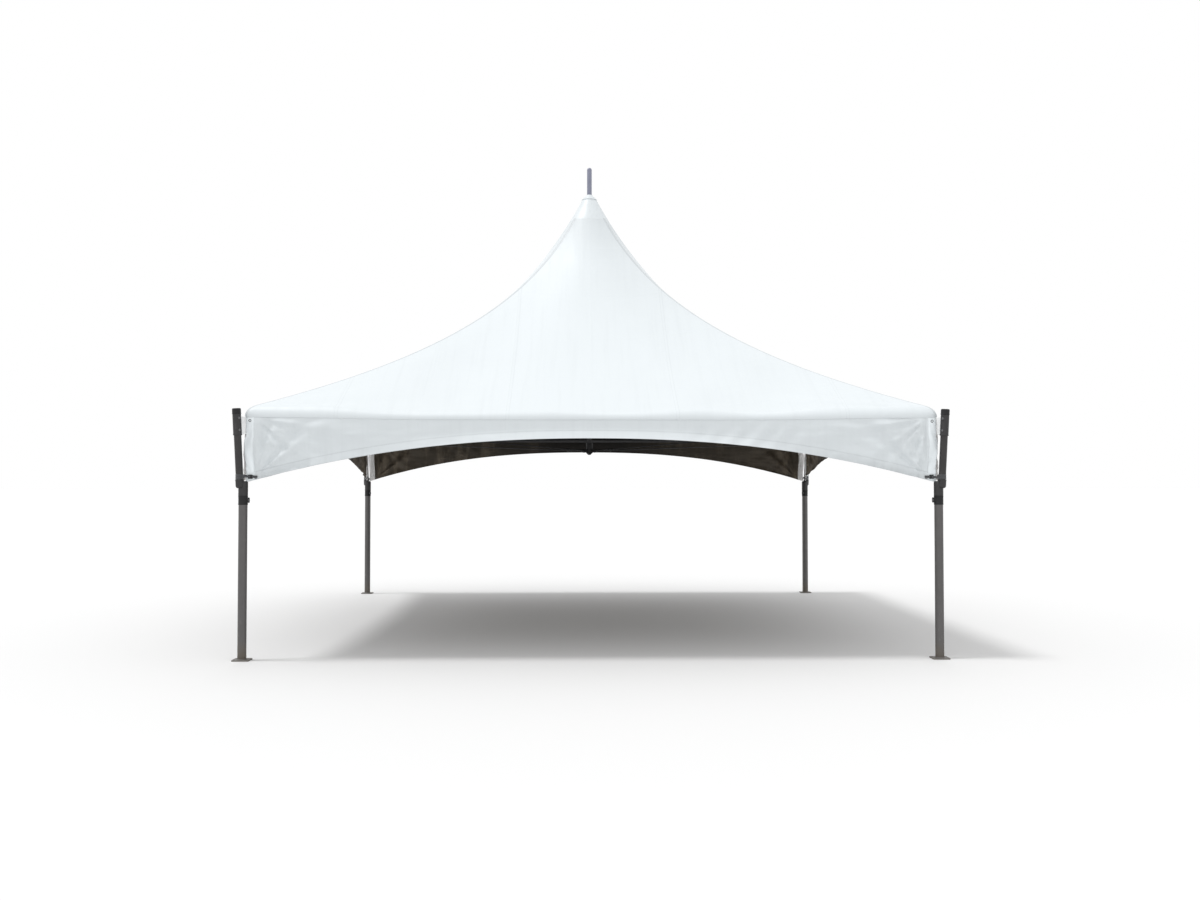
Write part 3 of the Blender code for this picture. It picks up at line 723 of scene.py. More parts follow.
def cloth_finish(name, color, hem):
    """White coated cloth: faint scrim, fold marks and rain marks, with panel welds, or with stitched hems and
    painted light and shade: a lighter lower hem band and end hems, darker edges, hem grooves and curled low
    corners.
    """
    finish = Finish(name, color, 0.42, specular_ior_level=0.35, sheen_weight=0.04)
    cloth = finish.node("ShaderNodeUVMap", {"uv_map": "cloth"}, {}).outputs["UV"]
    across, down = finish.split(cloth)[:2]
    broad = finish.noise(0.9, 4.0)
    streak = finish.noise(1.0, 5.0, 0.6, (14, 0.6, 1), cloth)
    fine = finish.noise(38.0)
    scrim = across.wave(SCRIM) + down.wave(SCRIM)
    marks = across.lap(FOLD_WIDE).fall(0.0, 0.020) + down.lap(FOLD_LONG).fall(0.0, 0.020)
    dust = streak.rise(0.50, 0.78) * 0.10 + broad.rise(0.48, 0.80) * 0.08
    normal = finish.bump(finish.noise(5.0, 4.0, 0.5), 0.006, 0.5)
    normal = finish.bump(marks, 0.0009, 0.7, normal)
    tone = color
    if hem:
        end = VALANCE_END - abs(across)
        inner = end.least(down)
        stitch = stitched(across, down) + stitched(down, end)
        # Painted shade: darker at the cloth's edges and along the hem's groove
        edge = inner.fall(0.0, 0.006) + abs(inner - HEM_WIDE).fall(0.0, 0.005) * 1.3
        # Painted shade: patchy darkening of the lower hem near the ends, where it curls in
        curl_shade = down.fall(0.0, 0.075) * (end / 1.6).fall(0.0, 0.9)
        patches = finish.ramp(streak, (0.38, 0.3), (0.66, 1.0))
        # The dark mask holds dust and stitches, and the painted shade of the edges and curled corners
        dust = dust + edge * 0.25 + stitch * 0.35 + curl_shade * patches * 0.62
        # Painted highlight: the lower hem band in the middle is painted lighter, as the flared hem catching
        # light
        hem_highlight = down.fall(0.055, 0.085) * (end / 3.0).rise(0.33, 0.75)
        tone = finish.mix(hem_highlight, color, shade(color, 1.06))
        # Painted light: the end hems are painted lighter, against the shade beside the posts
        tone = finish.mix(end.fall(0.064, 0.082), tone, shade(color, 1.26))
        normal = finish.bump(stitch, 0.0012, 1.0, normal)
    else:
        weld = (across + PANEL_WIDE / 2).lap(PANEL_WIDE)
        # Darker along each weld's edge, and darker towards the peak, within a metre of it
        dust = dust + abs(weld - 0.0135).fall(0.0, 0.003) * 0.18 + down.fall(0.25, 1.0) * 0.20
        normal = finish.bump(weld.fall(0.012, 0.020), 0.0006, 1.0, normal)
    finish.set("Base Color", finish.mix(dust, tone, shade(color, 0.62)))
    finish.set("Roughness", 0.36 + fine * 0.16 + dust * 0.5)
    finish.set("Normal", finish.bump(scrim + fine * 2.0, 0.00006, 0.6, normal))
    return finish.material


def shade_lining_finish(name, color, hung):
    """The cloth's inner face, its near-black colour painted shade: dull, a little uneven, with fold marks,
    and painted blackest in mid-valance.
    """
    finish = Finish(name, color, 0.6, specular_ior_level=0.3)
    cloth = finish.node("ShaderNodeUVMap", {"uv_map": "cloth"}, {}).outputs["UV"]
    across, down = finish.split(cloth)[:2]
    broad = finish.noise(1.4, 5.0)
    streak = finish.noise(2.0, 5.0, 0.65, (2.2, 2.2, 0.5))
    marks = across.lap(FOLD_WIDE).fall(0.0, 0.016) + down.lap(FOLD_LONG).fall(0.0, 0.016)
    light = (broad * 0.5 + streak * 0.5).rise(0.40, 0.72)
    tone = finish.mix(light, shade(color, 0.72), shade(color, 1.5))
    if hung:
        # Painted shade and light: the middle is painted near-black, with lighter streaks painted towards the
        # ends, as the shade under the roof falls
        middle = (abs(across) / 3.0).fall(0.15, 0.75)
        tone = finish.mix(middle * 0.94, tone, shade(color, 0.05))
        tone = finish.mix(streak.rise(0.50, 0.62) * (1.0 - middle) * 0.5, tone, shade(color, 2.6))
    finish.set("Base Color", tone)
    finish.set("Roughness", 0.55 + light * 0.15)
    normal = finish.bump(finish.noise(6.0, 4.0, 0.5), 0.006, 0.5)
    finish.set("Normal", finish.bump(marks, 0.0009, 0.7, normal))
    return finish.material


def seam_finish(name, color):
    """The same coated cloth where it is welded double, with dust in the grain."""
    finish = Finish(name, color, 0.40, specular_ior_level=0.4)
    dust = finish.noise(24.0, 4.0, 0.6).rise(0.45, 0.75)
    finish.set("Base Color", finish.mix(dust * 0.15, color, shade(color, 0.62)))
    finish.set("Roughness", 0.36 + dust * 0.2)
    finish.set("Normal", finish.bump(finish.noise(130.0, 2.0), 0.0004, 0.6))
    return finish.material


def metal_finish(name, color, roughness, metallic, grain, wear, dirt_top=0.0):
    """Tube or plate: drawn grain or spangle, scuffs of brighter metal, and ground dirt up to dirt_top."""
    finish = Finish(name, color, roughness, metallic)
    lines = finish.noise(1.0, 4.0, 0.6, grain)
    blotch = finish.noise(7.0, 4.0, 0.6)
    scuff = finish.noise(46.0, 5.0, 0.7, (1, 1, 0.3)).rise(0.60, 0.70) * wear
    tone = finish.mix(blotch, shade(color, 0.82), shade(color, 1.18))
    tone = finish.mix(scuff, tone, shade(color, 1.9))
    rough = roughness - 0.08 + lines * 0.16 + blotch * 0.08
    if dirt_top:
        height = finish.split(finish.place)[2]
        splash = (height / dirt_top + (blotch - 0.5) * 1.2).fall(0.0, 1.0)
        tone = finish.mix(splash * 0.55, tone, (0.21, 0.18, 0.14))
        rough = rough + splash * 0.25
    finish.set("Base Color", tone)
    finish.set("Roughness", rough)
    finish.set("Normal", finish.bump(lines + scuff * 0.5, 0.0004, 0.5))
    return finish.material


def webbing_finish(name, color):
    """Woven strap: fine ribs both ways and fluffed edges."""
    finish = Finish(name, color, 0.82, sheen_weight=0.2)
    x, y, z = finish.split(finish.place)
    finish.set("Base Color", finish.mix(finish.noise(60.0, 4.0), shade(color, 0.7), shade(color, 1.4)))
    finish.set("Normal", finish.bump(z.wave(0.0032) * (x + y).wave(0.0024), 0.0005, 0.9))
    return finish.material


def floor_finish(name, color):
    """A pale studio floor, very slightly uneven."""
    finish = Finish(name, color, 0.75, specular_ior_level=0.2)
    finish.set("Base Color", finish.mix(finish.noise(0.25) * 0.4, color, shade(color, 0.985)))
    return finish.material


# Each metal: its material, its colour's setting, roughness, metallic, grain, wear and the height of its dirt
METALS = {
    "post": ("post_grey", "post_color", 0.42, 0.75, (120, 120, 2), 0.5, 0.20),
    "sleeve": ("sleeve_grey", "sleeve_color", 0.46, 0.60, (60, 60, 12), 0.6),
    # painted light: the near-white brackets
    "bright": ("cast_bright", "bracket_color", 0.55, 0.10, (50, 50, 50), 0.4),
    "fitting": ("fitting_dark", "fitting_color", 0.50, 0.35, (30, 30, 30), 0.5),
    # painted shade: the near-black eave tubes and mast
    "tube": ("mill_tube", "tube_color", 0.45, 0.6, (90, 90, 90), 0.3),
    "plate": ("galvanised", "plate_color", 0.48, 0.75, (45, 45, 45), 0.5, 0.03),
    # painted shade: the darker upper tubes
    "upper": ("post_upper_grey", "upper_color", 0.42, 0.70, (120, 120, 2), 0.5),
    "cable": ("wire_rope", "cable_color", 0.40, 0.85, (200, 200, 200), 0.5),
    "zinc": ("zinc_bolts", "bolt_color", 0.38, 0.85, (80, 80, 80), 0.4),
    "cap": ("finial_paint", "finial_color", 0.38, 0.25, (40, 40, 8), 0.4),
}


def finish_named(name, make, *values):
    """The material of that name, made on its first use."""
    return bpy.data.materials.get(name) or make(name, *values)


def metal(settings, short):
    """One of the frame's metals, by its short name."""
    name, color, *look = METALS[short]
    return finish_named(name, metal_finish, getattr(settings, color), *look)


# Settings

ColorProperty = partial(FloatVectorProperty, size=3, min=0, max=1, subtype="COLOR")
LengthProperty = partial(FloatProperty, unit="LENGTH")
AngleProperty = partial(FloatProperty, subtype="ANGLE")


class TentClothSettings(bpy.types.PropertyGroup):
    """Sizes and colours of the cloth."""

    thickness: LengthProperty(name="Cloth thickness", description="Thickness of the coated cloth",
                              default=0.0010, min=0.0003, max=0.004)
    fold_depth: FloatProperty(name="Fold depth", description="How deep the folds and slack are, 1 as seen",
                              default=1.0, min=0.0, max=2.0, subtype="FACTOR")
    seam_width: LengthProperty(name="Seam width", description="Width of the welded laps along the hips",
                               default=0.040, min=0.01, max=0.10)
    seam_thick: LengthProperty(name="Seam thickness", description="How far a welded lap stands up",
                               default=0.0014, min=0.0005, max=0.004)
    outer_color: ColorProperty(name="Outer face", description="Colour of the cloth's outer face",
                               default=(0.655, 0.695, 0.715))
    # The turned hem is the white outer cloth folded inside, painted lighter than the outer face as painted
    # light on the shaded inner side
    hem_lit_color: ColorProperty(name="Turned hem", description="Colour of the outer face turned inside",
                             default=(0.93, 0.90, 0.86))
    # Painted shade: the inner face's near-black brown stands for the shade under the roof
    inner_shade_color: ColorProperty(name="Inner face", description="Colour of the cloth's inner face",
                               default=(0.088, 0.073, 0.054))


class TentFrameSettings(bpy.types.PropertyGroup):
    """Colours and small sizes of the posts, fittings, mast and cables."""

    post_color: ColorProperty(name="Posts", description="Colour of the corner posts",
                              default=(0.124, 0.120, 0.119))
    # Painted shade: the upper tubes are darker than the lower ones, standing for the shadow under the roof's
    # edge
    upper_color: ColorProperty(name="Upper posts", description="Colour of the leaning upper tubes",
                               default=(0.052, 0.050, 0.050))
    sleeve_color: ColorProperty(name="Sleeves", description="Colour of the cast joints and sleeves",
                                default=(0.046, 0.045, 0.046))
    fitting_color: ColorProperty(name="Fittings", description="Colour of the dark fittings",
                                 default=(0.012, 0.012, 0.013))
    # The brackets are white, painted lighter still as painted light against the shade between post and cloth
    bracket_color: ColorProperty(name="Brackets", description="Colour of the eave sockets and brackets",
                                 default=(0.84, 0.85, 0.86))
    bolt_color: ColorProperty(name="Bolts", description="Colour of the bolts, pins and eyelets",
                              default=(0.16, 0.16, 0.165))
    # Painted shade: the tubes' near-black stands for the shade under the roof where they hang
    tube_color: ColorProperty(name="Tubes", description="Colour of the eave tubes and the mast",
                              default=(0.060, 0.060, 0.062))
    plate_color: ColorProperty(name="Foot plates", description="Colour of the foot plates",
                               default=(0.22, 0.22, 0.22))
    cable_color: ColorProperty(name="Cables", description="Colour of the wire rope",
                               default=(0.035, 0.035, 0.037))
    webbing_color: ColorProperty(name="Webbing", description="Colour of the straps",
                                 default=(0.060, 0.062, 0.066))
    finial_color: ColorProperty(name="Finial", description="Colour of the pole end above the peak",
                                default=(0.23, 0.24, 0.31))
    bolt_radius: LengthProperty(name="Bolt radius", description="Radius of the bolts' shanks",
                                default=0.0045, min=0.003, max=0.010)
    rope_radius: LengthProperty(name="Rope radius", description="Radius of the wire rope",
                                default=0.005, min=0.003, max=0.010)
    rope_lay: LengthProperty(name="Rope lay", description="Length of one turn of the rope's strands",
                             default=0.070, min=0.03, max=0.2)
    smoothness: IntProperty(name="Segments", description="Faces round each large tube",
                            default=56, min=16, max=128)


class TentStageSettings(bpy.types.PropertyGroup):
    """The floor, the light and the camera."""

    floor_color: ColorProperty(name="Floor", description="Colour of the floor", default=(0.73, 0.73, 0.73))
    floor_size: LengthProperty(name="Floor size", description="Side of the square floor",
                               default=400.0, min=10.0, max=1000.0)
    sky_strength: FloatProperty(name="Sky strength", description="Strength of the even white light",
                                default=1.0, min=0.0, max=5.0)
    sun_strength: FloatProperty(name="Key strength", description="Strength of the soft light from above",
                                default=1.4, min=0.0, max=20.0)
    sun_soft: AngleProperty(name="Key softness", description="Angle that the soft light fills",
                            default=math.radians(12), min=0.0, max=math.pi)
    sun_height: AngleProperty(name="Key height", description="How high the soft light stands",
                              default=math.radians(68), min=0.0, max=math.pi / 2)
    sun_left: AngleProperty(name="Key direction", description="How far left of the front the light stands",
                            default=math.radians(86), min=-math.pi, max=math.pi)
    eye_place: FloatVectorProperty(name="Camera place", description="Where the camera stands",
                                   default=(-0.135, -13.347, 1.556), size=3, subtype="TRANSLATION",
                                   unit="LENGTH")
    eye_turn: AngleProperty(name="Camera turn", description="How far the camera looks right of the middle",
                            default=math.radians(1.10), min=-math.pi, max=math.pi)
    eye_tilt: AngleProperty(name="Camera tilt", description="How far the camera looks up",
                            default=math.radians(1.52), min=-math.pi / 2, max=math.pi / 2)
    eye_lens: FloatProperty(name="Lens", description="Focal length on a sensor 36 mm wide, in millimetres",
                            default=35.23, min=10.0, max=300.0)


# Cloth pieces


def give_thickness(sheet, thickness):
    """A Solidify modifier that grows inwards and gives the inner face the next finish."""
    solid = sheet.modifiers.new("thickness", "SOLIDIFY")
    solid.thickness = thickness
    solid.offset = -1.0
    solid.material_offset = 1
    solid.use_even_offset = False


def peak_patch(thick):
    """A collar of doubled cloth round the peak: the roof's surface, 0.16 m outwards from its top, lifted."""
    angle = np.concatenate([side_angles(10, 1, math.pi / 4)[:-1] + turn * math.pi / 2 for turn in range(4)])
    local = (angle + math.pi / 4) % (math.pi / 2) - math.pi / 4
    part = np.array([0.0, 0.004, 0.02, 0.036, 0.052, 0.0555, 0.052, 0.036, 0.02, 0.004])[:, None]
    lift = np.array([0.3, 1, 1, 1, 1, 0.0, -0.4, -0.4, -0.4, -0.4])[:, None] * thick
    flat = roof_surface(local[None, :], part, np.zeros_like(part), lift)
    reach = np.hypot(flat[..., 0], flat[..., 1])
    points = np.stack([reach * np.sin(angle), -reach * np.cos(angle), flat[..., 2]], axis=-1)
    return grid_shape(np.concatenate([points, points[:1]]), wrap=True)


def eyelet(points, x, z):
    """A pressed metal eye in the cloth at x and z, on the cloth's nearest point."""
    miss = (points[..., 0] - x) ** 2 + (points[..., 2] - z) ** 2
    near = points[np.unravel_index(np.argmin(miss), miss.shape)]
    return placed(ring(EYELET_RADIUS, EYELET_THICK, 28, 10), shifted(*near) @ tipped("X"))


class MakeCanopy(bpy.types.Operator):
    """Make the roof cloth from peak to eave, as one sheet of four gores"""

    bl_idname = "tent.make_canopy"
    bl_label = "Roof cloth"

    def execute(self, context):
        cloth = context.scene.tent_cloth
        gores = [roof_gore(side, cloth) for side in range(4)]
        shapes = [placed(grid_shape(points), quarter(side)) for side, (points, places) in enumerate(gores)]
        maps = np.concatenate([corner_uv(places) for points, places in gores])
        finishes = [finish_named("cloth_roof", cloth_finish, cloth.outer_color, False),
                    # the inner face's finish is painted shade
                    finish_named("cloth_roof_inner", shade_lining_finish, cloth.inner_shade_color, False)]
        roof = piece("roof_cloth", joined(*shapes), finishes, ["roof_" + side for side in SIDES],
                     {"cloth": maps}, closed=False, sharp=60)
        give_thickness(roof, cloth.thickness)
        return {"FINISHED"}


class MakeHipSeams(bpy.types.Operator):
    """Make the welded laps along the four hips and the doubled cloth round the peak"""

    bl_idname = "tent.make_hip_seams"
    bl_label = "Hip seams"

    def execute(self, context):
        cloth = context.scene.tent_cloth
        # The hip laps take the cloth's colour darkened to 0.84, drawing the grey line along each hip
        finish = finish_named("cloth_seam", seam_finish, shade(cloth.outer_color, 0.84))
        patch = finish_named("cloth_patch", seam_finish, cloth.outer_color)
        strip = hip_strip(cloth.seam_width, cloth.seam_thick)
        for side in range(4):
            piece("hip_seam_" + CORNERS[(side + 1) % 4], placed(strip, quarter(side)), [finish],
                  sharp=50)
        piece("peak_patch", peak_patch(cloth.seam_thick * 1.5), [patch], sharp=50)
        return {"FINISHED"}


class MakeValances(bpy.types.Operator):
    """Make the four hanging borders with their arched hems, and the eyelets at their corners"""

    bl_idname = "tent.make_valances"
    bl_label = "Valances"

    def execute(self, context):
        cloth = context.scene.tent_cloth
        outer = finish_named("cloth_valance", cloth_finish, cloth.outer_color, True)
        # the turned hem's colour is painted light
        turned_hem = finish_named("cloth_hem", cloth_finish, cloth.hem_lit_color, True)
        # the valances' inner face is painted shade
        lining = finish_named("cloth_valance_inner", shade_lining_finish, cloth.inner_shade_color, True)
        zinc = metal(context.scene.tent_frame, "zinc")
        for side, name in enumerate(SIDES):
            points, places = valance_panel(side, cloth)
            end = VALANCE_END - np.abs(places[..., 0])
            hemmed = (end[:-1, :-1] + end[1:, 1:]) / 2 < HEM_WIDE
            panels = ("middle", SIDES[(side + 1) % 4], SIDES[side - 1])
            nodes = ["valance_" + name + "_" + part for part in panels]
            panel = piece("valance_cloth_" + name, placed(grid_shape(points), quarter(side)),
                          [outer, lining, outer, turned_hem], nodes, {"cloth": corner_uv(places)},
                          closed=False, sharp=60, finish_numbers=hemmed * 2)
            give_thickness(panel, cloth.thickness)
            eyes = [eyelet(points, sign * x, z) for sign in (-1, 1) for x, z in EYELETS]
            eyelets = piece("valance_eyelets_" + name, placed(joined(*eyes), quarter(side)), [zinc])
        return {"FINISHED"}


# Posts


def post_axis(along):
    """A point of the upper post's axis at the front left corner, 0 at its foot and 1 at its top."""
    out = LEG + UPPER_SHIFT + (UPPER_TOP_OUT - UPPER_SHIFT) * along
    return Vector((-out, -out, JOINT_Z + (POST_TOP - JOINT_Z) * along))


def post_part(z):
    """The part of the upper post's axis that lies below a height."""
    return (z - JOINT_Z) / (POST_TOP - JOINT_Z)


def post_space():
    """The upper post's own space: +Z up its axis, the origin at its foot."""
    return aimed(post_axis(0.0), post_axis(1.0))


POST_LONG = (post_axis(1.0) - post_axis(0.0)).length


def joint_coupling(around):
    """The cast joint: a sleeve with a shoulder on the lower tube, and a leaning socket for the upper tube."""
    low = COLLAR_LOW_Z + BAND_HIGH + 0.0005
    bore = LOWER_RADIUS + CLEAR
    seat = LOWER_TOP_Z + CLEAR
    lower = turned([(bore, low), (COLLAR_RADIUS - 0.0015, low), (COLLAR_RADIUS - 0.0005, low + 0.001),
                    (COLLAR_RADIUS - 0.0005, JOINT_Z - 0.004), (COLLAR_RADIUS - 0.002, JOINT_Z + 0.004),
                    (COLLAR_RADIUS - 0.008, JOINT_Z + 0.010), (COLLAR_RADIUS - 0.014, JOINT_Z + 0.012),
                    (0, JOINT_Z + 0.012), (0, seat), (bore, seat), (bore, low)], around)
    bore = UPPER_RADIUS + CLEAR
    outer = UPPER_RADIUS + 0.005
    socket = turned([(0, -SOCKET_DOWN), (outer - 0.016, -SOCKET_DOWN), (outer - 0.006, 0.006 - SOCKET_DOWN),
                     (outer - 0.001, 0.016 - SOCKET_DOWN), (outer - 0.0005, 0.026 - SOCKET_DOWN),
                     (outer - 0.0005, SOCKET_UP - 0.010), (outer + 0.001, SOCKET_UP - 0.008),
                     (outer + 0.001, SOCKET_UP - 0.0015), (outer - 0.0005, SOCKET_UP), (bore, SOCKET_UP),
                     (bore, SOCKET_FLOOR), (0, SOCKET_FLOOR)], around)
    return joined(placed(lower, LEG_FOOT), placed(socket, post_space()))


def joint_band(around, bolt_radius):
    """The dark clamp under the coupling, lipped at both ends and closed by two ears, and its bolt and nut."""
    bore = LOWER_RADIUS + CLEAR
    waist = COLLAR_RADIUS - 0.0012
    low, high = COLLAR_LOW_Z, COLLAR_LOW_Z + BAND_HIGH
    band = turned([(bore, low), (COLLAR_RADIUS - 0.001, low), (COLLAR_RADIUS, low + 0.002),
                   (COLLAR_RADIUS, low + 0.010), (waist, low + 0.012), (waist, high - 0.012),
                   (COLLAR_RADIUS, high - 0.010), (COLLAR_RADIUS, high - 0.002),
                   (COLLAR_RADIUS - 0.001, high), (bore, high), (bore, low)], around)
    inwards = LEG_FOOT @ tipped("Z", 45)
    middle = low + BAND_HIGH / 2
    ear = slab(rounded_outline(0.026, 0.046, 0.007), -0.003, 0.003, 0.001)
    ears = [placed(ear, inwards @ shifted(COLLAR_RADIUS + 0.006, side, middle) @ tipped("X"))
            for side in (-0.0055, 0.0055)]
    ends = []
    for sign, long in ((1, 0.022), (-1, 0.002)):
        start = Vector((COLLAR_RADIUS + 0.009, sign * 0.0085, middle))
        way = inwards @ aimed(start, start + Vector((0, sign, 0)))
        ends.append(placed(hex_bolt(bolt_radius, long), way))
    return joined(placed(band, LEG_FOOT), *ears), joined(*ends)


class MakePosts(bpy.types.Operator):
    """Make the tubes of the four corner posts, their welded feet and their dark joints"""

    bl_idname = "tent.make_posts"
    bl_label = "Posts"

    def execute(self, context):
        settings = context.scene.tent_frame
        around = settings.smoothness
        plate = metal(settings, "plate")
        lower = placed(pipe(LOWER_RADIUS, LOWER_WALL, LOWER_BASE_Z, LOWER_TOP_Z, around), LEG_FOOT)
        upper = placed(pipe(UPPER_RADIUS, UPPER_WALL, SOCKET_FLOOR + CLEAR,
                            POST_LONG - CAP_THICK - CLEAR, around), post_space())
        weld = placed(ring(LOWER_RADIUS + 0.001, WELD_THICK, 96, 10, WELD_RIPPLE, WELD_RIPPLES),
                      shifted(-LEG, -LEG, LOWER_BASE_Z + 0.0015))
        band, bolt = joint_band(around, settings.bolt_radius)
        on_corners(("post_lower_", lower, metal(settings, "post"), "post", "leg_lower_"),
                   ("post_upper_", upper, metal(settings, "upper"), "post", "leg_upper_"),
                   ("post_foot_weld_", weld, plate, "foot_plate"),
                   ("post_joint_", joint_coupling(around), metal(settings, "sleeve"), "fitting",
                    "leg_collar_"),
                   ("post_joint_band_", band, metal(settings, "fitting"), "fitting"),
                   ("post_joint_bolt_", bolt, metal(settings, "zinc"), "fitting"))
        for corner in CORNERS:
            foot_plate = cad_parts["foot_plate_" + corner]
            foot_plate.data.materials.clear()
            foot_plate.data.materials.append(plate)
        return {"FINISHED"}


# Post heads


def head_sleeve(around):
    """The cast sleeve on the post's top, with a lip at its foot, up to the cap."""
    low = POST_LONG - SLEEVE_LONG
    high = POST_LONG - HEAD_CAP_HIGH - 0.0005
    bore = UPPER_RADIUS + CLEAR
    lip, side = SLEEVE_RADIUS + 0.0005, SLEEVE_RADIUS - 0.0015
    return placed(turned([(bore, low), (SLEEVE_RADIUS - 0.001, low), (lip, low + 0.0015), (lip, low + 0.010),
                          (side, low + 0.013), (side, high - 0.001), (SLEEVE_RADIUS - 0.0025, high),
                          (bore, high), (bore, low)], around), post_space())


def head_cap(around):
    """The dark cap that closes the post: a bead at its foot and a quarter round at its top."""
    low = POST_LONG - HEAD_CAP_HIGH
    under = POST_LONG - CAP_THICK
    bore = UPPER_RADIUS + CLEAR
    crest = [(SLEEVE_RADIUS - 0.010 + 0.0095 * math.cos(bend), POST_LONG - 0.0095 + 0.0095 * math.sin(bend))
             for bend in np.linspace(0, math.pi / 2, 7)]
    return placed(turned([(bore, low), (SLEEVE_RADIUS, low), (SLEEVE_RADIUS + 0.001, low + 0.001),
                          (SLEEVE_RADIUS + 0.001, low + 0.007), (SLEEVE_RADIUS - 0.0005, low + 0.009), *crest,
                          (0, POST_LONG), (0, under), (bore, under), (bore, low)], around), post_space())


def sleeve_face(z):
    """How far out along the diagonal the sleeve's inner side is at a height, and 3 mm into its wall."""
    out = LEG + UPPER_SHIFT + (UPPER_TOP_OUT - UPPER_SHIFT) * post_part(z)
    return out * math.sqrt(2) - SLEEVE_RADIUS + 0.003


def head_bracket(around):
    """A plate from the sleeve through the cloth's corner, a hub, a lug for the cable and two sockets."""
    side = HUB_RADIUS - 0.001
    hub = turned([(0, HUB_LOW_Z), (HUB_RADIUS - 0.004, HUB_LOW_Z), (side, HUB_LOW_Z + 0.003),
                  (side, HUB_TOP_Z - 0.004), (HUB_RADIUS - 0.005, HUB_TOP_Z), (0, HUB_TOP_Z)], around)
    near = HUB_OUT * math.sqrt(2)
    pin = CABLE_HIGH_OUT * math.sqrt(2)
    diagonal = tipped("Z", 225) @ tipped("X")
    plate = slab([(near - 0.02, BRACKET_TOP_Z), (near - 0.02, HUB_LOW_Z + 0.006), (near + 0.012, 1.998),
                  (near + 0.038, BRACKET_LOW_Z), (sleeve_face(BRACKET_LOW_Z), BRACKET_LOW_Z),
                  (sleeve_face(BRACKET_TOP_Z), BRACKET_TOP_Z)], -PLATE_HALF, PLATE_HALF)
    lug = slab([(near - 0.01, HUB_LOW_Z + 0.001), (near - 0.01, 2.100), (pin + 0.012, 2.098),
                (pin + 0.001, CABLE_HIGH_Z + 0.009), (pin - 0.001, CABLE_HIGH_Z),
                (pin + 0.001, CABLE_HIGH_Z - 0.009), (pin + 0.012, HUB_LOW_Z + 0.001)],
               -PLATE_HALF, PLATE_HALF)
    bore, lip, wall = TUBE_RADIUS + CLEAR, SOCKET_RADIUS, SOCKET_RADIUS - 0.0018
    long = SOCKET_END - SOCKET_START
    socket = turned([(bore, 0), (lip - 0.001, 0), (lip, 0.001), (lip, 0.010), (wall, 0.013),
                     (wall, long - 0.002), (lip - 0.004, long), (0, long), (0, TUBE_IN), (bore, TUBE_IN),
                     (bore, 0)], around)
    front = placed(socket, aimed((-SOCKET_START, -TUBE_OUT, TUBE_Z), (-SOCKET_END, -TUBE_OUT, TUBE_Z)))
    left = placed(socket, aimed((-TUBE_OUT, -SOCKET_START, TUBE_Z), (-TUBE_OUT, -SOCKET_END, TUBE_Z)))
    return joined(placed(hub, shifted(-HUB_OUT, -HUB_OUT, 0)), placed(plate, diagonal), placed(lug, diagonal),
                  front, left)


def head_pins(radius):
    """Bolts through the sleeve, and a pin with a ring through each socket and eave tube."""
    space = post_space()
    shapes = []
    for down in SLEEVE_BOLTS:
        for sign in (-1, 1):
            way = Vector((sign, 0, 0))
            start = Vector((0, 0, POST_LONG - down)) + way * (SLEEVE_RADIUS - 0.0015)
            shapes.append(placed(hex_bolt(radius, 0.004), space @ aimed(start, start + way)))
    below = TUBE_Z - SOCKET_RADIUS
    out = -SOCKET_START - PIN_IN
    for x, y in ((out, -TUBE_OUT), (-TUBE_OUT, out)):
        shapes.append(placed(bar(0.004, -0.016, 0.012, 16, 0.0006), shifted(x, y, below)))
        shapes.append(placed(ring(0.011, 0.0011, 28, 8), shifted(x, y, below - 0.022) @ tipped("X")))
    return joined(*shapes)


class MakeCornerFittings(bpy.types.Operator):
    """Make the posts' dark heads with their sockets, bracket, cap, bolts and pins"""

    bl_idname = "tent.make_corner_fittings"
    bl_label = "Corner fittings"

    def execute(self, context):
        settings = context.scene.tent_frame
        around = settings.smoothness
        on_corners(("post_head_sleeve_", head_sleeve(around), metal(settings, "sleeve"), "fitting",
                    "corner_fitting_"),
                   ("post_head_cap_", head_cap(around), metal(settings, "fitting"), "fitting"),
                   ("post_head_bracket_", head_bracket(around), metal(settings, "bright"), "fitting"),
                   ("post_head_pins_", head_pins(settings.bolt_radius), metal(settings, "zinc"), "fitting"))
        return {"FINISHED"}


# Valance ties


def loop_route(offset):
    """The front strap's loop: from the buckle to the post's near tangent, round it, and back by the far one.

    Seen from the buckle the post's axis lies in the direction away, and the tangents touch at the way
    back + and - acos(radius / distance). The loop rises by offset on the post.
    """
    centre = post_axis(post_part(TIE_Z))
    radius = UPPER_RADIUS + 0.0014
    start = np.array([0.006 - BUCKLE_MIDDLE, -CLOTH_HALF - 0.0062])
    finish = start + [0, 0.0026]
    away = np.array([centre.x, centre.y]) - start
    open_turn = math.acos(radius / np.linalg.norm(away))
    back = math.atan2(-away[1], -away[0])
    turn = np.linspace(back - open_turn, back + open_turn - 2 * math.pi, 44)
    bend = np.column_stack([centre.x + radius * np.cos(turn), centre.y + radius * np.sin(turn)])
    share = np.linspace(0, 1, 9)[:-1, None]
    flat = np.concatenate([start * (1 - share) + bend[0] * share, bend,
                           (bend[-1] * (1 - share) + finish * share)[1:], [finish]])
    lean = np.concatenate([smooth(share[:, 0], 0, 1), np.ones(44), 1 - smooth(share[1:, 0], 0, 1), [0.0]])
    return np.column_stack([flat, TIE_Z + offset * lean])


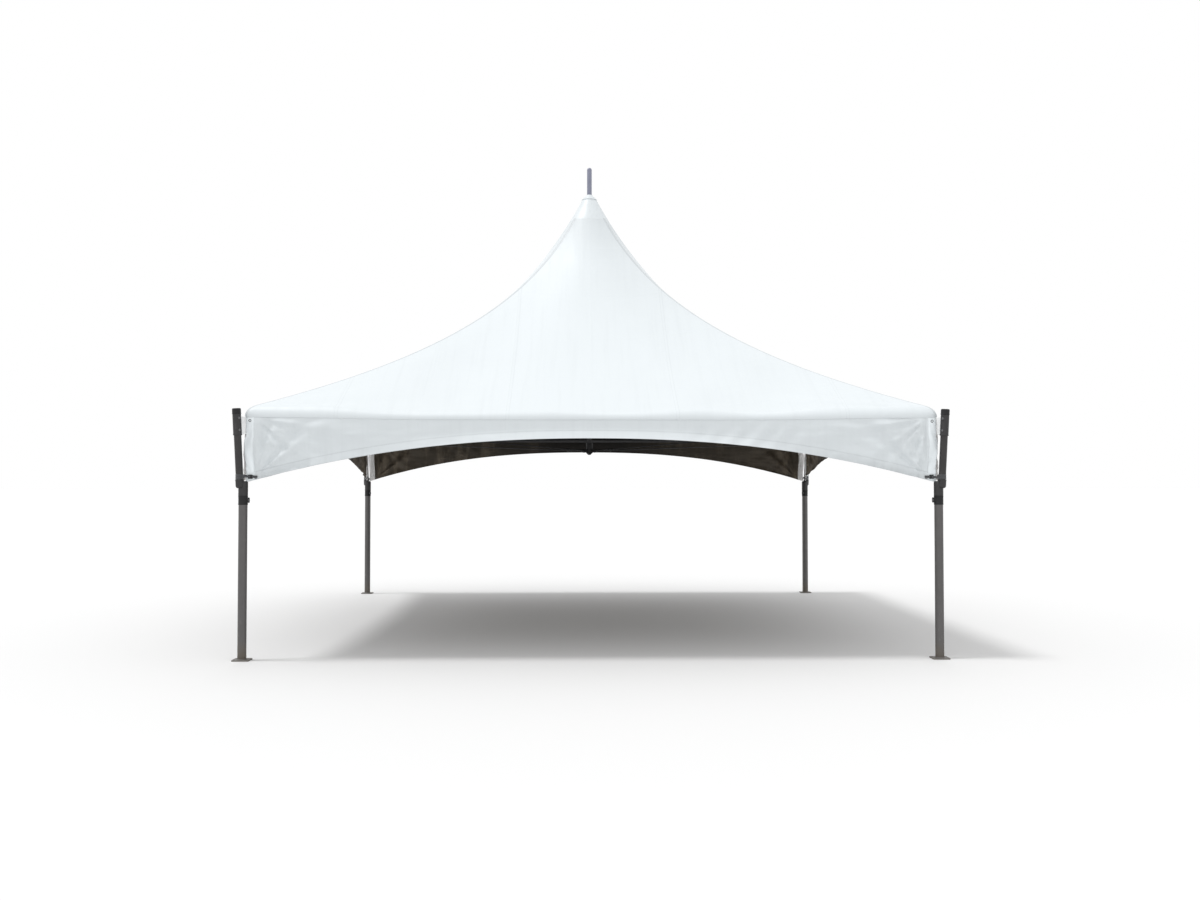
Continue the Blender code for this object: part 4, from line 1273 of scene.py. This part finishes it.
def tie_straps():
    """Each valance's strap: a tab through the eyelet to the buckle, and a loop round the post."""
    section = rounded_outline(STRAP_THICK, STRAP_WIDE, 0.0008, 3)
    share = np.linspace(0, 1, 12)
    tab = np.column_stack([-STRAP_END - (BUCKLE_MIDDLE + 0.004 - STRAP_END) * share,
                           -CLOTH_HALF - 0.0042 - 0.0020 * smooth(share, 0.3, 0.8), np.full(12, TIE_Z)])
    front, side = [joined(swept(tab, section), swept(loop_route(offset), section))
                   for offset in (STRAP_LIFT, -STRAP_LIFT)]
    return joined(front, placed(side, SWAP_XY))


def tie_buckles():
    """A cam buckle on the front strap and one on the side strap: a frame, a bar and a thumb lever."""
    lever = slab(rounded_outline(0.022, 0.028, 0.004), 0.0045, 0.0085, 0.0012)
    buckle = joined(slab(rounded_outline(0.040, 0.036, 0.005), 0.0, 0.0035, 0.0008),
                    placed(bar(0.0032, -0.017, 0.017, 20), shifted(0.010, 0, 0.005) @ tipped("X")),
                    placed(lever, tipped("Y", 7)))
    front = shifted(-BUCKLE_MIDDLE, -CLOTH_HALF - 0.0020, TIE_Z) @ tipped("X")
    return joined(placed(buckle, front), placed(buckle, SWAP_XY @ front))


class MakeValanceTies(bpy.types.Operator):
    """Make the bands, straps and buckles that tie the valances' low corners to the posts"""

    bl_idname = "tent.make_valance_ties"
    bl_label = "Valance ties"

    def execute(self, context):
        settings = context.scene.tent_frame
        webbing = finish_named("strap_webbing", webbing_finish, settings.webbing_color)
        on_corners(("tie_strap_", tie_straps(), webbing, "webbing", "valance_tie_"),
                   ("tie_buckles_", tie_buckles(), metal(settings, "fitting"), "fitting"))
        return {"FINISHED"}


# Tubes, mast and cables


class MakeEaveTubes(bpy.types.Operator):
    """Make the four tubes under the roof's edge"""

    bl_idname = "tent.make_eave_tubes"
    bl_label = "Eave tubes"

    def execute(self, context):
        settings = context.scene.tent_frame
        tube = placed(pipe(TUBE_RADIUS, TUBE_WALL, -TUBE_HALF_LONG, TUBE_HALF_LONG, settings.smoothness),
                      shifted(0, -TUBE_OUT, TUBE_Z) @ tipped("Y"))
        for turns, side in enumerate(SIDES):
            piece("eave_rail_" + side, placed(tube, quarter(turns)), [metal(settings, "tube")],
                  ["eave_tube_" + side])
        return {"FINISHED"}


def crown_cone(around):
    """The cone on the mast that carries the roof's top, with a lip at its foot."""
    bore, top = MAST_RADIUS + CLEAR, PEAK_Z - 0.0045
    return turned([(bore, CROWN_LOW_Z), (CROWN_RADIUS - 0.006, CROWN_LOW_Z),
                   (CROWN_RADIUS, CROWN_LOW_Z + 0.003), (CROWN_RADIUS - 0.001, CROWN_LOW_Z + 0.010),
                   (PEAK_RADIUS - 0.010, PEAK_Z - 0.010), (PEAK_RADIUS - 0.020, top), (bore, top),
                   (bore, CROWN_LOW_Z)], around)


def cap_cone(around):
    """The coated cap over the peak: a cone from its skirt up to the finial, with a hem and a top bead.

    Between the hem and the bead the radius falls by a share s of the way, bowed in by 4 s (1 - s) times 2 mm.
    """
    hole = SPIGOT_RADIUS + CLEAR
    rest = PEAK_Z + CLEAR
    foot_z, top_z, foot, top = CAP_LOW_Z + 0.011, CAP_TOP_Z - 0.004, CAP_RADIUS - 0.0085, 0.0335
    slope = [(foot + (top - foot) * part - 0.008 * part * (1 - part), foot_z + (top_z - foot_z) * part)
             for part in np.linspace(0, 1, 12)]
    return turned([(hole, rest), (PEAK_RADIUS + 0.002, rest), (CAP_RADIUS - 0.0058, CAP_LOW_Z),
                   (CAP_RADIUS - 0.0008, CAP_LOW_Z), (CAP_RADIUS, CAP_LOW_Z + 0.001),
                   (CAP_RADIUS - 0.0065, CAP_LOW_Z + 0.0098), *slope, (0.0325, CAP_TOP_Z - 0.0015),
                   (0.0300, CAP_TOP_Z), (hole, CAP_TOP_Z), (hole, rest)], around)


def mast_cup(around):
    """A cup with a pointed foot, a lip, four lugs set on the diagonals and a bolt through it."""
    bore, floor, rim = MAST_RADIUS + CLEAR, MAST_LOW_Z - CLEAR, MAST_LOW_Z + 0.060
    side = CUP_RADIUS - 0.001
    cup = turned([(0, MAST_TIP_Z), (0.011, MAST_TIP_Z), (0.016, MAST_TIP_Z + 0.003),
                  (side, CABLE_LOW_Z - 0.022), (side, rim - 0.010), (CUP_RADIUS, rim - 0.008),
                  (CUP_RADIUS, rim - 0.001), (CUP_RADIUS - 0.002, rim), (bore, rim), (bore, floor),
                  (0, floor)], around)
    out = CABLE_LOW_OUT * math.sqrt(2) + 0.001
    outline = [(0.02, -0.018), (out - 0.016, -0.018), (out - 0.005, -0.012), (out, 0.0), (out - 0.005, 0.012),
               (out - 0.016, 0.018), (0.02, 0.018)]
    lug = placed(slab(outline, -PLATE_HALF, PLATE_HALF), shifted(0, 0, CABLE_LOW_Z) @ tipped("X"))
    lugs = [placed(lug, tipped("Z", 45 + 90 * turn)) for turn in range(4)]
    level = MAST_LOW_Z + 0.032
    bolts = [placed(hex_bolt(0.005, 0.004), aimed((0, sign * CUP_RADIUS * 0.97, level), (0, sign, level)))
             for sign in (-1, 1)]
    return joined(cup, *lugs, *bolts)


def finial_shape(around):
    """The pole end above the peak: a spigot in the mast, a straight pole and a round top."""
    low = CAP_TOP_Z + CLEAR
    foot = PEAK_Z - 0.1
    dome = [(FINIAL_RADIUS * math.cos(bend), FINIAL_TOP_Z - FINIAL_RADIUS * (1 - math.sin(bend)))
            for bend in np.linspace(0, math.pi / 2, 9)]
    return turned([(0, foot), (SPIGOT_RADIUS, foot), (SPIGOT_RADIUS, low), (FINIAL_RADIUS - 0.001, low),
                   (FINIAL_RADIUS, low + 0.001), *dome], around)


class MakeMast(bpy.types.Operator):
    """Make the mast, its cup with four lugs, the crown under the peak, the cap and the finial"""

    bl_idname = "tent.make_mast"
    bl_label = "Mast and finial"

    def execute(self, context):
        settings = context.scene.tent_frame
        around = settings.smoothness
        tube = metal(settings, "tube")
        patch = finish_named("cloth_patch", seam_finish, context.scene.tent_cloth.outer_color)
        mast = pipe(MAST_RADIUS, MAST_WALL, MAST_LOW_Z, PEAK_Z, around)
        piece("mast_pole", mast, [tube], ["mast"])
        piece("mast_cup", mast_cup(around), [metal(settings, "fitting")], ["mast_base"])
        piece("peak_crown_cone", crown_cone(around), [tube], ["peak_crown"])
        piece("peak_cap_cone", cap_cone(around), [patch], ["peak_cap"])
        piece("finial_pole", finial_shape(around), [metal(settings, "cap")], ["finial"])
        return {"FINISHED"}


def wire_rope(start, end, radius, lay):
    """Six strands laid round each other: radius times (0.84 + 0.16 |cos 3(a - turn)|) along the rope."""
    z = np.linspace(start, end, int((end - start) / lay * 9))[:, None]
    around = np.linspace(0, 2 * math.pi, 24, endpoint=False)[None, :]
    reach = radius * (0.84 + 0.16 * np.abs(np.cos(3 * (around - z * 2 * math.pi / lay))))
    points = np.stack([reach * np.cos(around), reach * np.sin(around), np.repeat(z, 24, 1)], axis=-1)
    first, last = [np.repeat(np.array([[[0, 0, height]]]), 24, 1) for height in (start, end)]
    return grid_shape(np.concatenate([first, points, last]), wrap=True)


def cable_end():
    """A fork end along +Z: two cheeks on a lug, a pin, and a round shank."""
    cheek = placed(slab(rounded_outline(0.018, 0.040, 0.008), 0.0, 0.004, 0.001), tipped("Y"))
    cheeks = [placed(cheek, shifted(offset, 0, 0.008)) for offset in (0.006, -0.010)]
    pin = placed(bar(0.004, -0.015, 0.015, 16, 0.0006), tipped("Y"))
    shank = turned([(0, 0.020), (0.010, 0.022), (0.011, 0.028), (0.008, 0.036), (0.006, 0.040),
                    (0.006, 0.064), (0, 0.064)], 24)
    return joined(*cheeks, pin, shank)


def turnbuckle(start):
    """An open body of two side bars between two round nuts, on screws with a thread."""
    end = start + TURNBUCKLE_LONG
    nuts = [turned([(0, low), (0.010, low), (0.012, low + 0.003), (0.012, low + 0.019), (0.010, low + 0.022),
                    (0, low + 0.022)], 28) for low in (start, end - 0.022)]
    route = [(0, 0, start + 0.006), (0, 0, (start + end) / 2), (0, 0, end - 0.006)]
    side = swept(route, rounded_outline(0.005, 0.009, 0.002, 4), up=(0, 1, 0))
    sides = [placed(side, shifted(offset, 0, 0)) for offset in (-0.010, 0.010)]
    lap = np.linspace(0, 1, 120)
    thread = 0.0045 + 0.0009 * np.abs(np.sin(lap * math.pi * 16))
    screws = [turned([(0, low), *zip(thread, low + (high - low) * lap), (0, high)], 16)
              for low, high in ((start - 0.004, start + 0.075), (end - 0.075, end + 0.012))]
    return joined(*nuts, *sides, *screws)


class MakeCables(bpy.types.Operator):
    """Make the four taut wire ropes with their forks, sleeves and turnbuckles"""

    bl_idname = "tent.make_cables"
    bl_label = "Cross cables"

    def execute(self, context):
        settings = context.scene.tent_frame
        high = Vector((-CABLE_HIGH_OUT, -CABLE_HIGH_OUT, CABLE_HIGH_Z))
        low = Vector((-CABLE_LOW_OUT, -CABLE_LOW_OUT, CABLE_LOW_Z))
        space = aimed(low, high)
        long = (high - low).length
        rope = wire_rope(ROPE_START, long - ROPE_SHORT, settings.rope_radius, settings.rope_lay)
        low_sleeve = turned([(0, 0.235), (0.009, 0.236), (0.0095, 0.240), (0.0095, 0.285), (0.006, 0.290),
                             (0, 0.290)], 24)
        high_sleeve = turned([(0, long - 0.115), (0.006, long - 0.115), (0.0095, long - 0.110),
                              (0.0095, long - 0.062), (0, long - 0.060)], 24)
        high_end = placed(cable_end(), shifted(0, 0, long) @ tipped("X", 180))
        ends = joined(cable_end(), turnbuckle(TURNBUCKLE_START), high_end, low_sleeve, high_sleeve)
        on_corners(("cable_rope_", placed(rope, space), metal(settings, "cable"), "cable", "cross_cable_"),
                   ("cable_ends_", placed(ends, space), metal(settings, "fitting"), "cable"))
        return {"FINISHED"}


# Stage


class MakeStage(bpy.types.Operator):
    """Make the pale floor, the soft light and the camera"""

    bl_idname = "tent.make_stage"
    bl_label = "Floor, light and camera"

    def execute(self, context):
        stage = context.scene.tent_stage
        half = stage.floor_size / 2
        edges = [-half, -12.0, -4.0, 4.0, 12.0, half]
        x, y = np.meshgrid(edges, edges)
        points, quads = grid_shape(np.stack([x, y, np.zeros_like(x)], axis=-1)[::-1])
        mesh = bpy.data.meshes.new("stage_floor")
        mesh.from_pydata(points.tolist(), [], quads.tolist())
        mesh.materials.append(finish_named("stage_floor", floor_finish, stage.floor_color))
        link_new("stage_floor", mesh)
        world = bpy.data.worlds.new("studio")
        world.use_nodes = True
        sky = world.node_tree.nodes["Background"].inputs
        sky["Color"].default_value = (1.0, 1.0, 1.0, 1.0)
        sky["Strength"].default_value = stage.sky_strength
        context.scene.world = world
        light = bpy.data.lights.new("key", "SUN")
        light.energy = stage.sun_strength
        light.angle = stage.sun_soft
        flat = math.cos(stage.sun_height)
        toward = Vector((-flat * math.sin(stage.sun_left), -flat * math.cos(stage.sun_left),
                         math.sin(stage.sun_height)))
        link_new("key", light).rotation_euler = toward.to_track_quat("Z", "Y").to_euler()
        camera = bpy.data.cameras.new("eye")
        camera.sensor_width = 36.0
        camera.lens = stage.eye_lens
        camera.clip_end = 500.0
        eye = link_new("eye", camera)
        eye.location = stage.eye_place
        eye.rotation_euler = (math.pi / 2 + stage.eye_tilt, 0.0, -stage.eye_turn)
        context.scene.camera = eye
        context.scene.view_settings.view_transform = "Standard"
        return {"FINISHED"}


class TentPanel(bpy.types.Panel):
    """Lists the tent's settings and the buttons that make its pieces"""

    bl_idname = "VIEW3D_PT_tent"
    bl_label = "Frame Tent"
    bl_space_type = "VIEW_3D"
    bl_region_type = "UI"
    bl_category = "Tent"

    def draw(self, context):
        for settings in (context.scene.tent_cloth, context.scene.tent_frame, context.scene.tent_stage):
            box = self.layout.box()
            for name in settings.__annotations__:
                box.prop(settings, name)
        for maker in MAKERS:
            self.layout.operator(maker.bl_idname)


SETTINGS = {"tent_cloth": TentClothSettings, "tent_frame": TentFrameSettings, "tent_stage": TentStageSettings}
MAKERS = (MakeStage, MakeCanopy, MakeHipSeams, MakeValances, MakePosts, MakeCornerFittings, MakeValanceTies,
          MakeEaveTubes, MakeMast, MakeCables)


def register():
    """Registers the settings, the operators and the panel."""
    for name, group in SETTINGS.items():
        bpy.utils.register_class(group)
        setattr(bpy.types.Scene, name, PointerProperty(type=group))
    for made in (*MAKERS, TentPanel):
        bpy.utils.register_class(made)


def unregister():
    """Takes the panel, the operators and the settings away again."""
    for made in (TentPanel, *reversed(MAKERS)):
        bpy.utils.unregister_class(made)
    for name, group in reversed(SETTINGS.items()):
        delattr(bpy.types.Scene, name)
        bpy.utils.unregister_class(group)


def main():
    register()
    for maker in MAKERS:
        group, name = maker.bl_idname.split(".")
        getattr(getattr(bpy.ops, group), name)()


if __name__ == "__main__":
    main()
